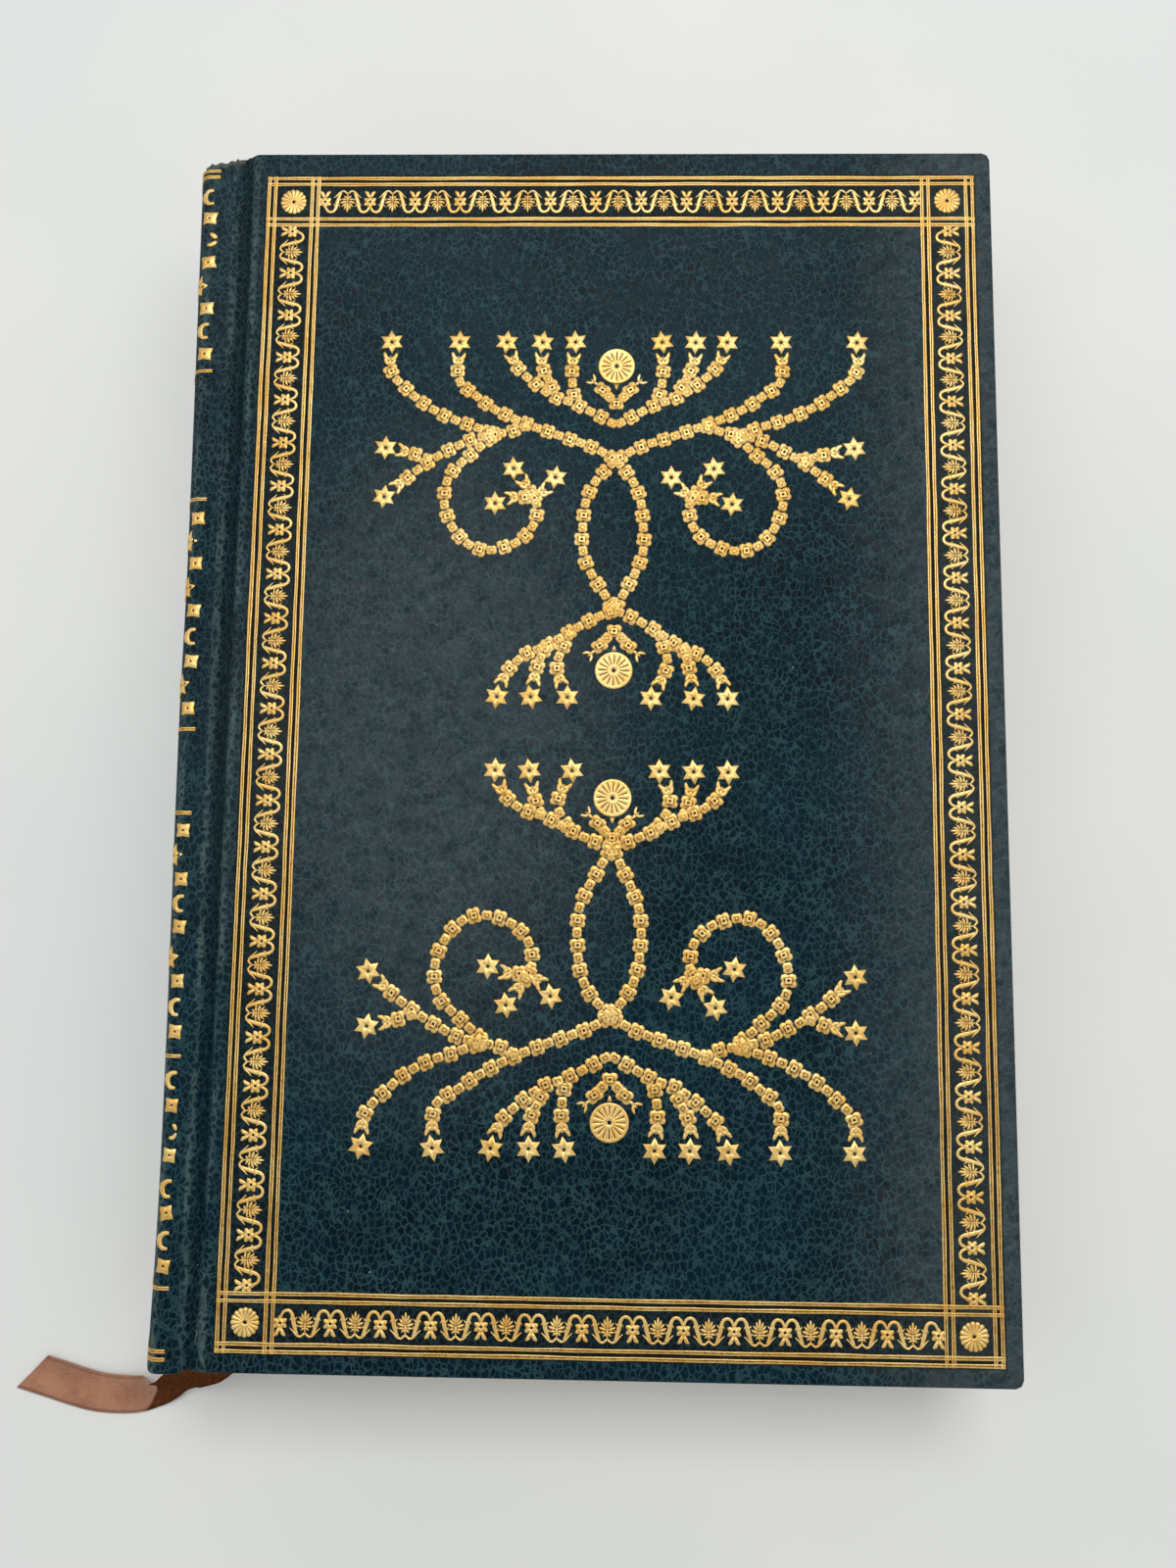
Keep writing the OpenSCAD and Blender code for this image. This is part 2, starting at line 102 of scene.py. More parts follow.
# %% Camera
camera_data = bpy.data.cameras.new("camera")
camera_data.lens = 27.18
camera_data.sensor_width = 36
camera_data.clip_start = 0.01
camera = bpy.data.objects.new("camera", camera_data)
bpy.context.scene.collection.objects.link(camera)
camera_axes = np.array([
    [0.9997, 0.0122, -0.0206],
    [-0.0098, 0.9933, 0.1152],
    [0.0219, -0.1150, 0.9931],
])
frame_corner = np.array([hinge + groove_half + 2.0, 3.4 - half_height, top])
camera_place = frame_corner + [60.0, 66.0, 188.7]
matrix = np.eye(4)
matrix[:3, :3] = camera_axes.T
matrix[:3, 3] = camera_place * MM
camera.matrix_world = Matrix(matrix.tolist())
bpy.context.scene.camera = camera
bpy.context.scene.view_settings.view_transform = "Standard"
print("camera", camera_place.round(2), "mm, lens", camera_data.lens, "mm")

# %% [markdown]
# ## Helpers for surfaces
#
# A surface is a grid of points: one direction runs along the piece and the other across it.
# Neighbouring points make four-sided faces, and a direction that comes back to its start is
# wrapped. The faces go into Blender as whole arrays.

# %% Grids and meshes


def quads_of(index):
    """Four-sided faces between neighbours in a table of point numbers. They face the way in
    which a turn from the rows' direction to the columns' is to the left."""
    corners = [index[:-1, :-1], index[1:, :-1], index[1:, 1:], index[:-1, 1:]]
    return np.stack(corners, -1).reshape(-1, 4)


def grid_faces(rows, columns, wrap=False):
    """The faces of a rows x columns grid of points; wrap joins the last column to the first."""
    index = np.arange(rows * columns).reshape(rows, columns)
    return quads_of(np.concatenate([index, index[:, :1]], axis=1) if wrap else index)


def fan_faces(ring, centre):
    """Triangles from each pair of neighbours on a closed ring to one centre point."""
    return np.stack([ring, np.roll(ring, -1), np.full(len(ring), centre)], -1)


def new_piece(name, points, faces, material, smooth=True):
    """Puts points in millimetres and a list of face arrays into a new object at the origin."""
    mesh = bpy.data.meshes.new(name)
    points = np.asarray(points, float).reshape(-1, 3)
    mesh.vertices.add(len(points))
    mesh.vertices.foreach_set("co", (points * MM).ravel())
    faces = [np.asarray(f, int) for f in faces if len(f)]
    corners = np.concatenate([f.ravel() for f in faces])
    sizes = np.concatenate([np.full(len(f), f.shape[1]) for f in faces])
    mesh.loops.add(len(corners))
    mesh.loops.foreach_set("vertex_index", corners)
    mesh.polygons.add(len(sizes))
    mesh.polygons.foreach_set("loop_start", np.concatenate([[0], np.cumsum(sizes)[:-1]]))
    mesh.polygons.foreach_set("use_smooth", np.full(len(sizes), smooth))
    mesh.update(calc_edges=True)
    mesh.materials.append(material)
    piece = bpy.data.objects.new(name, mesh)
    bpy.context.scene.collection.objects.link(piece)
    print(name, len(points), "points", len(sizes), "faces")
    return piece


def point_values(piece, name, values):
    """Stores one number for each point of the mesh, for its material to read."""
    attribute = piece.data.attributes.new(name, "FLOAT", "POINT")
    attribute.data.foreach_set("value", np.asarray(values, np.float32).ravel())


def point_places(piece, name, places):
    """Stores a flat (along, across) place for each corner as the piece's own UV map."""
    layer = piece.data.uv_layers.new(name=name)
    corner = np.empty(len(piece.data.loops), int)
    piece.data.loops.foreach_get("vertex_index", corner)
    layer.data.foreach_set("uv", np.asarray(places, np.float32)[corner].ravel())


def unit(vectors):
    """Vectors of length 1 that point the same way."""
    return vectors / np.linalg.norm(vectors, axis=-1, keepdims=True)


def run_of(line):
    """Distance along a line at each of its points."""
    return np.concatenate([[0], np.cumsum(np.linalg.norm(np.diff(line, axis=0), axis=1))])


def along_line(line, run, where):
    """The line's values at the distances where; run is the distance at each of its points."""
    return np.stack([np.interp(where, run, column) for column in line.T], -1)


def resample(line, step):
    """The same line with points at equal distances of about step."""
    run = run_of(line)
    return along_line(line, run, np.linspace(0, run[-1], max(int(round(run[-1] / step)), 2) + 1))


def smooth_line(points, step):
    """A smooth curve through points (each stretch a cubic that leaves and meets its points
    along the line between their neighbours), resampled at equal distances of about step."""
    p = np.asarray(points, float)
    before = np.vstack([2 * p[0] - p[1], p[:-2]])
    after = np.vstack([p[2:], 2 * p[-1] - p[-2]])
    t = np.linspace(0, 1, 16, endpoint=False)[None, :, None]
    a, b, c, d = before[:, None], p[:-1, None], p[1:, None], after[:, None]
    curve = 0.5 * (2 * b + (c - a) * t + (2 * a - 5 * b + 4 * c - d) * t ** 2
                   + (3 * b - a - 3 * c + d) * t ** 3)
    return resample(np.vstack([curve.reshape(-1, p.shape[1]), p[-1:]]), step)


def ease(t):
    """A soft step from 0 to 1: half a cosine wave."""
    return (1 - np.cos(np.pi * np.clip(t, 0, 1))) / 2


# %% [markdown]
# ## Helpers for finishes
#
# A finish is a Principled shader fed by a few texture nodes, and a few small helpers keep the
# node code short. Each wraps one kind of node and hands on its output, so a finish reads like
# a sum. A new node goes into the node tree of whatever is given to it first.

# %% Material helpers


def paint(code):
    """A colour as Blender stores it, from the usual six-digit code."""
    part = np.array([int(code[i:i + 2], 16) / 255 for i in (0, 2, 4)])
    return (*np.where(part <= 0.04045, part / 12.92, ((part + 0.055) / 1.055) ** 2.4), 1.0)


def give(socket, value):
    """Links a node's output to a socket, or sets the socket to a plain value."""
    if isinstance(value, bpy.types.NodeSocket):
        socket.id_data.links.new(value, socket)
    else:
        socket.default_value = value


def feed(shader, **values):
    """Gives a shader's sockets their values; where a socket's name has a space, write _."""
    for name, value in values.items():
        give(shader.inputs[name.replace("_", " ")], value)


def finish(name, **values):
    """A new material, and its Principled shader with these sockets set."""
    material = bpy.data.materials.new(name)
    material.use_nodes = True
    shader = material.node_tree.nodes["Principled BSDF"]
    feed(shader, **values)
    return material, shader


def add(near, kind, sockets=(), **settings):
    """Adds a node beside another, applies its settings, and sets or links each named input."""
    node = near.id_data.nodes.new("ShaderNode" + kind)
    for key, value in settings.items():
        setattr(node, key, value)
    for key, value in dict(sockets).items():
        give(node.inputs[key], value)
    return node


def maths(operation, *values):
    """One Math node: its output for the given operation and values."""
    return add(values[0], "Math", dict(enumerate(values)), operation=operation).outputs[0]


times, plus, minus = (partial(maths, name) for name in ("MULTIPLY", "ADD", "SUBTRACT"))
most, absolute = (partial(maths, name) for name in ("MAXIMUM", "ABSOLUTE"))


def level(value, low, high, to_low=0.0, to_high=1.0):
    """A value carried smoothly from one range to another."""
    return add(value, "MapRange", {"Value": value, "From Min": low, "From Max": high,
                                   "To Min": to_low, "To Max": to_high},
               interpolation_type="SMOOTHSTEP").outputs["Result"]


def mix(factor, a, b):
    """One colour turning into another."""
    node = add(factor, "Mix", data_type="RGBA")
    sockets = {s.identifier: s for s in (*node.inputs, *node.outputs)}
    for name, value in (("Factor_Float", factor), ("A_Color", a), ("B_Color", b)):
        give(sockets[name], value)
    return sockets["Result_Color"]


def noise(place, scale, detail=3.0, rough=0.5, out="Fac"):
    """Soft random cloud; scale is how many of its waves fit in a metre."""
    return add(place, "TexNoise", {"Vector": place, "Scale": scale, "Detail": detail,
                                   "Roughness": rough}).outputs[out]


def bump(height, depth, strength):
    """Turns a height into a tilted surface; depth is the real height of value 1 in metres."""
    return add(height, "Bump", {"Height": height, "Distance": depth,
                                "Strength": strength}).outputs["Normal"]


def place_of(shader):
    """The point on the piece itself, in metres, which turns and moves with the piece."""
    return add(shader, "TexCoord").outputs["Object"]


def stretched(place, *scale):
    """Places scaled along each axis: a pattern read there is drawn out where scale is small."""
    return add(place, "Mapping", {"Vector": place, "Scale": scale}).outputs["Vector"]


def axes_of(vector):
    """The three numbers of a vector."""
    return add(vector, "SeparateXYZ", {"Vector": vector}).outputs[:]


def stored(shader, name):
    """The number that the piece carries under this name."""
    return add(shader, "Attribute", attribute_name=name).outputs["Fac"]


# %% [markdown]
# ## Ribbon marker
#
# A woven silk ribbon, 7 mm wide, is glued in at the head of the spine, lies between two
# leaves and comes out at the tail. There it hangs down in the shade of the cover, tilted,
# creases where it meets the table, and lies flat from there to its bare cut end. Its route
# inside the pages is that of the construction model. A flat, slightly cupped section is
# carried along it, and the weave follows the ribbon's own length, so it has a UV map.

# %% Silk finish
rib_pitch, warp_pitch = 0.42, 0.55
# Where the painted shade on the hanging ribbon ends: the fold's place along it and its slant.
fold_at, fold_slant = 221.6, 1.15


def silk_finish():
    """Fine ribs across the ribbon, darker woven edges, broad fading along it, and painted
    shade in deep brown, without sheen or gloss, where it hangs away from the light, as far as the
    slanted fold."""
    material, shader = finish("ribbon_silk", Roughness=0.55, Sheen_Weight=0.35,
                              Sheen_Roughness=0.4, Anisotropic=0.3)
    flat = add(shader, "UVMap", uv_map="weave").outputs["UV"]
    across, along = axes_of(flat)[:2]
    rib = maths("SINE", times(along, 2 * math.pi / rib_pitch))
    warp = maths("SINE", times(across, 2 * math.pi / warp_pitch))
    from_middle = absolute(across)
    selvedge = times(level(from_middle, 2.75, 2.95), level(from_middle, 3.4, 3.2))
    cloud = noise(place_of(shader), 160, 4, 0.6)
    fleck = noise(stretched(flat, 3.0, 0.35, 1.0), 2.0, 3, 0.6)
    colour = mix(level(cloud, 0.3, 0.7), paint("895a40"), paint("ac7858"))
    colour = mix(level(fleck, 0.35, 0.75, 0.0, 0.5), colour, paint("be8b6e"))
    colour = mix(times(selvedge, 0.55), colour, paint("5d3320"))
    colour = mix(level(rib, -0.2, -1.0, 0.0, 0.25), colour, paint("6d4028"))
    # painted shade: deep brown, with sheen and gloss taken away, on the hanging part up to the
    # slanted fold
    hanging_shade = level(plus(along, times(across, fold_slant)), fold_at + 1, fold_at)
    deep = mix(level(fleck, 0.35, 0.7), paint("371a08"), paint("66391b"))
    feed(shader, Base_Color=mix(times(hanging_shade, 0.92), colour, deep),
         Sheen_Weight=level(hanging_shade, 0.0, 1.0, 0.3, 0.0),
         Specular_IOR_Level=level(hanging_shade, 0.0, 1.0, 0.5, 0.0),
         Normal=bump(plus(times(rib, 0.7), times(warp, 0.3)), 0.00003, 0.8))
    return material


silk = silk_finish()

# %% Ribbon along its route
ribbon_w, ribbon_t = 7.0, 0.4
clear_of_table = 0.03
leaves_pages = 190
# Places along it: x from the hinge line, y from the tail, height, and roll in degrees.
route = np.array([
    [3, 192, 18.8, 0], [3, 150, 18.8, 0], [3, 100, 18.8, 0], [3, 50, 18.8, 0],
    [3, 12, 18.8, 0], [3, 3, 18.8, 0], [2.2, 0, 18.6, 2], [0.4, -2.6, 18.1, 6],
    [-2.2, -5, 17.2, 12], [-5, -7, 15.5, 22], [-7.6, -8.9, 13.1, 32],
    [-9.8, -10.4, 10.4, 40], [-11.7, -11.8, 7.6, 45], [-13.4, -13, 5.1, 45],
    [-15.1, -14.1, 3.3, 36], [-17.4, -15.1, 1.9, 21], [-21.2, -16.2, 1, 10],
    [-27, -16.2, 0.6, 4], [-32.2, -15.1, 0.5, 1], [-40, -12.8, 0.4, 0],
], float)


def ribbon_shape():
    """Points of a flat closed section carried along the route. At each step the ribbon's
    side points across its path and level, then rolls about the path by the route's angle."""
    line = smooth_line(route, 1.0)
    line[:, 2] = np.maximum(line[:, 2], ribbon_t / 2 + clear_of_table)
    path = line[:, :3] + [hinge, -half_height, 0]
    along = unit(np.gradient(path, axis=0))
    side = unit(np.cross(along, [0, 0, 1.0]))
    up = np.cross(side, along)
    roll = np.radians(line[:, 3])[:, None]
    wide, thick = side * np.cos(roll) + up * np.sin(roll), up * np.cos(roll) - side * np.sin(roll)
    across = np.concatenate([np.linspace(-1, 1, 13), np.linspace(1, -1, 13)])
    face = np.repeat([1, -1], 13)
    edge = 1 - np.abs(across) ** 8 * 0.7
    run = run_of(path)
    free = np.clip((run - leaves_pages) / 20, 0, 1)[:, None]
    cup = free * 0.35 * np.sin(run / 5.5)[:, None] * across ** 2
    lift = face * edge * ribbon_t / 2 + np.maximum(cup, 0)
    points = (path[:, None] + wide[:, None] * (across * ribbon_w / 2)[:, None]
              + thick[:, None] * lift[:, :, None])
    slant = free * np.clip((run - run[-1] + 8) / 8, 0, 1)[:, None] * across * -1.8
    points += along[:, None] * slant[:, :, None]
    points[:, :, 2] = np.maximum(points[:, :, 2], clear_of_table)
    flat = np.stack(np.broadcast_arrays(across * ribbon_w / 2, run[:, None]), -1)
    return path, points, flat, run


ribbon_path, ribbon_points, ribbon_flat, ribbon_run = ribbon_shape()
rows, columns = ribbon_points.shape[:2]
ribbon_faces = grid_faces(rows, columns, wrap=True)[:, ::-1]
ring = np.arange(columns)
half = columns // 2
cap = np.stack([ring[:half - 1], ring[1:half], ring[::-1][1:half], ring[::-1][:half - 1]], -1)
ribbon_faces = [ribbon_faces, cap[:, ::-1], cap + (rows - 1) * columns]
ribbon = new_piece("ribbon", ribbon_points, ribbon_faces, silk)
point_places(ribbon, "weave", ribbon_flat.reshape(-1, 2))
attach(ribbon, "book_block")
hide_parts("ribbon_marker")
outside = ribbon_path[ribbon_path[:, 1] <= pages_low[1]]
print("ribbon", round(ribbon_run[-1], 1), "mm, outside", round(run_of(outside)[-1], 1), "mm")

# %% [markdown]
# ## Table and light
#
# The table is a plain pale plane. The light is that of a room with windows: a pale world all
# round, dimmer straight above, where someone bends over the table, a broad soft lamp high
# beyond the head of the book, which gives the short shadow at its tail, and two weaker ones
# at the sides. Together they light a white sheet to about white, so every colour renders as
# it is written.

# %% Table
table_finish, table_shader = finish("table_paint", Roughness=0.6)
cloud = noise(place_of(table_shader), 9)
feed(table_shader, Base_Color=mix(level(cloud, 0.3, 0.7), paint("dcdedb"), paint("e2e3e0")))
reach = 1500
corners = [[-reach, -reach, 0], [reach, -reach, 0], [reach, reach, 0], [-reach, reach, 0]]
table = new_piece("table", corners, [[[0, 1, 2, 3]]], table_finish, smooth=False)

# %% World and lamps
world = bpy.data.worlds.new("room")
bpy.context.scene.world = world
world.use_nodes = True
sky = world.node_tree.nodes["Background"]
above = add(sky, "VectorMath", {0: add(sky, "TexCoord").outputs["Generated"],
                                1: (0.0, -0.17, 0.985)}, operation="DOT_PRODUCT")
feed(sky, Color=(0.97, 0.985, 1.0, 1.0),
     Strength=level(above.outputs["Value"], 0.70, 0.97, 0.58, 0.15))


def soft_lamp(name, place, aim, size, power):
    """A square lamp at place, in millimetres, facing aim."""
    data = bpy.data.lights.new(name, "AREA")
    data.size = size * MM
    data.energy = power
    lamp = bpy.data.objects.new(name, data)
    bpy.context.scene.collection.objects.link(lamp)
    back = unit(np.subtract(place, aim, dtype=float))
    right = unit(np.cross([0, 0, 1.0], back))
    turn = np.eye(4)
    turn[:3, :3] = np.stack([right, np.cross(back, right), back], -1)
    turn[:3, 3] = np.array(place) * MM
    lamp.matrix_world = Matrix(turn.tolist())


soft_lamp("window", (90, 680, 1400), (0, 20, 0), 520, 11.3)
soft_lamp("side_window", (-520, 60, 1050), (0, 0, 0), 500, 1.5)
soft_lamp("other_window", (560, 60, 1000), (0, 0, 0), 400, 1.2)

# %% [markdown]
# ## Leather finish
#
# The skin is dyed goat leather pressed into pebbles about 1 mm wide. Between them run
# lighter creases, broken and uneven, which show most where little light glances off. A cell
# pattern gives both: the distance to the nearest cell border is high on a pebble and low in a
# crease. The pattern is bent by a cloud first, so that no cell is regular. Beside the groove
# and on the shoulder years of handling have rubbed the dye grey, and every worn rim of the
# skin is frayed: the pieces carry a number, worn, that is 1 on such a rim.

# %% Leather
pebbles_a_metre = 1020.0


def leather_finish(name):
    """Pebbles, creases, dust and rubbed places, a painted sheen on broad greyer places,
    painted shade in the groove, and painted shade between and beside the gold lines."""
    material, shader = finish(name, Specular_IOR_Level=0.05)
    place = place_of(shader)
    x, y, z = axes_of(place)

    def band(place_x, half_width):
        """1 along a line at place_x from the hinge, falling to 0 at half_width from it."""
        away = absolute(minus(x, (hinge + place_x) * MM))
        return level(away, half_width * MM, half_width * 0.2 * MM)

    # the pebbles, and the creases between them
    drawn = stretched(place, 1.0, 0.74, 1.0)
    sway = noise(place, 620.0, out="Color")
    shift = add(place, "VectorMath", {0: sway, 1: (0.5, 0.5, 0.5)}, operation="SUBTRACT").outputs[0]
    shift = add(place, "VectorMath", {0: shift, "Scale": 0.0012}, operation="SCALE").outputs[0]
    bent = add(place, "VectorMath", {0: drawn, 1: shift}, operation="ADD").outputs[0]
    cells = {"Vector": bent, "Scale": pebbles_a_metre}
    border = add(place, "TexVoronoi", cells, feature="DISTANCE_TO_EDGE").outputs["Distance"]
    tone = axes_of(add(place, "TexVoronoi", cells).outputs["Color"])[0]
    vein = absolute(minus(noise(drawn, 1050, 2, 0.5), 0.5))
    crease = most(level(border, 0.16, 0.015), level(vein, 0.03, 0.0, 0.0, 0.4))
    dark = mix(level(tone, 0.1, 0.9), paint("000c14"), paint("021723"))
    dark = mix(level(noise(place, 26, 3, 0.55), 0.35, 0.7), dark, paint("041d28"))

    # rubbed grey beside the groove and on the shoulder
    patch = noise(place, 170, 4, 0.65)
    streak = noise(stretched(place, 1.0, 0.16, 1.0), 420, 4, 0.65)
    rub = most(band(-1.6, 0.9), most(band(1.9, 1.2), band(-6.0, 1.0)))
    rub = times(rub, level(streak, 0.32, 0.62))
    strength = most(times(crease, level(patch, 0.34, 0.6, 0.6, 1.0)),
                    times(rub, level(border, 0.30, 0.05, 0.1, 0.9)))
    colour = mix(strength, dark, mix(rub, paint("264247"), paint("4a5e5e")))

    # painted sheen, a greyer veil, towards the left middle, the fore-edge and the head; painted
    # shade in the groove
    reach_x = minus(x, (hinge + 34) * MM)
    from_middle = plus(maths("POWER", reach_x, 2.0), maths("POWER", times(y, 0.6), 2.0))
    painted_sheen = most(level(maths("SQRT", from_middle), 0.045, 0.012, 0.0, 0.33),
                 level(x, (hinge + fore - 34) * MM, (hinge + fore - 3) * MM, 0.0, 0.38))
    painted_sheen = most(painted_sheen, level(y, 10 * MM, 90 * MM, 0.0, 0.1))
    painted_sheen = times(painted_sheen, level(noise(place, 420, 4, 0.7), 0.25, 0.65, 0.3, 1.0))
    colour = mix(painted_sheen, colour, paint("62696a"))
    # painted shade: the groove darkened towards black
    colour = mix(times(band(0.0, 1.0), 0.42), colour, paint("000a10"))

    # painted shade, dark brown, between and beside the pressed gold lines
    low, high = node_box("front_fillets")
    reach = [minus(absolute(minus(axis, (low[k] + high[k]) / 2 * MM)), (high[k] - low[k]) / 2 * MM)
             for k, axis in enumerate((x, y))]
    from_band = absolute(plus(most(*reach), 4.25 * MM))
    pair_shade = level(absolute(minus(from_band, 3.7 * MM)), 1.05 * MM, 0.6 * MM)
    painted_line_shade = most(times(pair_shade, 0.85), level(from_band, 4.2 * MM, 3.9 * MM, 0.0, 0.5))
    painted_line_shade = times(painted_line_shade, level(z, (top - 1) * MM, (top - 0.5) * MM))
    colour = mix(painted_line_shade, colour, paint("14120b"))

    # scuffed, frayed and dusty
    scuff = times(most(band(-2.6, 1.2), band(0.9, 0.7)), level(streak, 0.66, 0.74))
    colour = mix(times(scuff, 0.8), colour, paint("8fa08c"))
    fray = level(plus(stored(shader, "worn"), noise(place, 1500, 4, 0.7)), 0.98, 1.3)
    colour = mix(fray, colour, paint("50564a"))
    dust = add(place, "TexVoronoi", {"Vector": place, "Scale": 260.0}).outputs
    speck = times(level(dust["Distance"], 0.045, 0.02), level(axes_of(dust["Color"])[0], 0.86, 0.9))
    colour = mix(times(speck, 0.6), colour, paint("a8b59c"))

    pebble = plus(level(border, 0.0, 0.18), times(noise(place, 3800, 2, 0.5), 0.25))
    feed(shader, Base_Color=colour, Roughness=level(patch, 0.3, 0.7, 0.42, 0.56),
         Normal=bump(pebble, 0.00012, 0.75))
    return material


leather = leather_finish("goat_leather")

# %% [markdown]
# ## Covers and spine in leather
#
# On the real book one skin runs over both boards and the spine, and is turned in over their
# edges. Here a line is drawn across the book, from the spine over the ridge and the groove to
# the fore-edge, and is carried from tail to head. Rings then continue its border round the
# edge of the board and 15 mm in on the inside, and Solidify gives the leather its thickness.
# The groove is where the real joint bends.

# %% Line across the book


def skin_line(first_turn, step):
    """Points (x from the hinge line, z) and the thickness of what the leather wraps: an arc
    round the spine's centre, an arc over the shoulder, the flat ridge, two half-waves through
    the groove, and a straight run over the board."""
    spine = np.radians(np.arange(first_turn, ridge_turn, -math.degrees(step * 0.6 / spine_r)))
    ridge = np.radians(np.linspace(ridge_turn, 90, 9)[:-1])
    wave = np.linspace(0, 1, 11)
    ridge_top = top - ridge_drop
    flat = resample(np.array([[-ridge_off, ridge_top], [-groove_half, ridge_top]]), 0.35)
    board = resample(np.array([[groove_half, top], [fore - edge_r, top]]), step)
    down, sink = ease(1 - wave[:-1]), groove_d - ridge_drop
    line = np.vstack([
        np.stack([spine_x + spine_r * np.cos(spine), middle + spine_r * np.sin(spine)], -1),
        np.stack([-ridge_off + ridge_r * np.cos(ridge), ridge_z + ridge_r * np.sin(ridge)], -1),
        flat[:-1],
        np.stack([-groove_half * (1 - wave[:-1]), top - groove_d + sink * down], -1),
        np.stack([groove_half * wave[:-1], top - groove_d * down], -1),
        board,
    ])
    wrap = np.interp(line[:, 0], [-5, 0, groove_half], [1.8, 1.5, cover_t])
    return line, wrap


def line_normals(line):
    """At each point, the direction a quarter turn to the left of the way the line runs."""
    way = unit(np.gradient(line, axis=0))
    return np.stack([-way[:, 1], way[:, 0]], -1)


spine_waves = smooth_line([[-100, -0.1], [-77, 0.3], [-50, 0.2], [0, -0.4], [30, -0.4],
                           [90, -1.1], [100, -1.2]], 2.0)


def spine_sway(x, y):
    """How far the old spine has moved across at x from the hinge: a slow wave along its
    length, full on the shoulder and nothing in the groove."""
    return np.interp(y, spine_waves[:, 0], spine_waves[:, 1]) * ease((-2.4 - x) / 2.6)


def joint_fill(x, y, z):
    """How much shallower the groove is near the ends of the book, where the joint was never
    pressed as deep: a share of its depth that fades over 7 mm at the head, 30 mm at the tail."""
    level_top = np.where(x < 0, top - ridge_drop, top)
    share = 0.5 * ease((y + 7 - half_height) / 7) + 0.62 * ease((30 - half_height - y) / 30)
    return np.maximum(level_top - z, 0) * share * (np.abs(x) < groove_half)


def ripples(x, y):
    """Long creases in the soft leather of the ridge, up to 0.06 mm high."""
    wave = (np.sin(x * 5.2 + 1.4 * np.sin(y / 9))
            + 0.7 * np.sin(x * 3.1 - y / 6 + 1) * np.cos(y / 13))
    return 0.035 * wave * ease((-0.8 - x) / 1.2) * ease((x + 7) / 1.5)


def head_loss(x):
    """How far the leather is worn back at the head: nothing at the groove, 2.3 mm at the
    shoulder and a little more past it."""
    return np.interp(x, [-8, -6.6, -5.4, -3.4, -1.6, 0], [2.7, 2.3, 1.5, 1.1, 0.45, 0])


def swell(x, y):
    """The slight unevenness of a hand-covered board: a few slow waves, up to 0.07 mm high."""
    edge = np.clip((fore - 2 - x) / 8, 0, 1) * np.clip((x - groove_half) / 6, 0, 1)
    edge = edge * np.clip((half_height - 2 - np.abs(y)) / 8, 0, 1)
    wave = (np.sin(x / 17 + 0.6) * np.cos(y / 23) + 0.6 * np.sin(x / 9 - y / 14 + 2)
            + 0.5 * np.cos(y / 7.5 + x / 21))
    return 0.035 * wave * edge


edge_r, corner_r, turn_in, skin_t = 0.6, 1.4, 15.0, 0.5
worn_rings = 7


def edge_rings():
    """(outward, fixed depth, share of the wrapped thickness) for each ring past the border:
    a quarter round, the side, a second quarter round, and the turn-in."""
    quarter = np.radians(np.linspace(0, 90, 5))
    first, second = quarter[1:], quarter[:-1]
    side = np.linspace(0, 1, 4)[1:-1]
    inner = np.array([1.5, 3.5, 7, 11, turn_in - edge_r])
    return np.concatenate([
        np.stack([edge_r * np.sin(first), edge_r * (1 - np.cos(first)), 0 * first], -1),
        np.stack([0 * side + edge_r, edge_r * (1 - 2 * side), side], -1),
        np.stack([edge_r * np.cos(second), -edge_r + edge_r * np.sin(second), 0 * second + 1], -1),
        [[0, 0, 1]],
        np.stack([-inner, 0 * inner, 0 * inner + 1], -1),
    ])


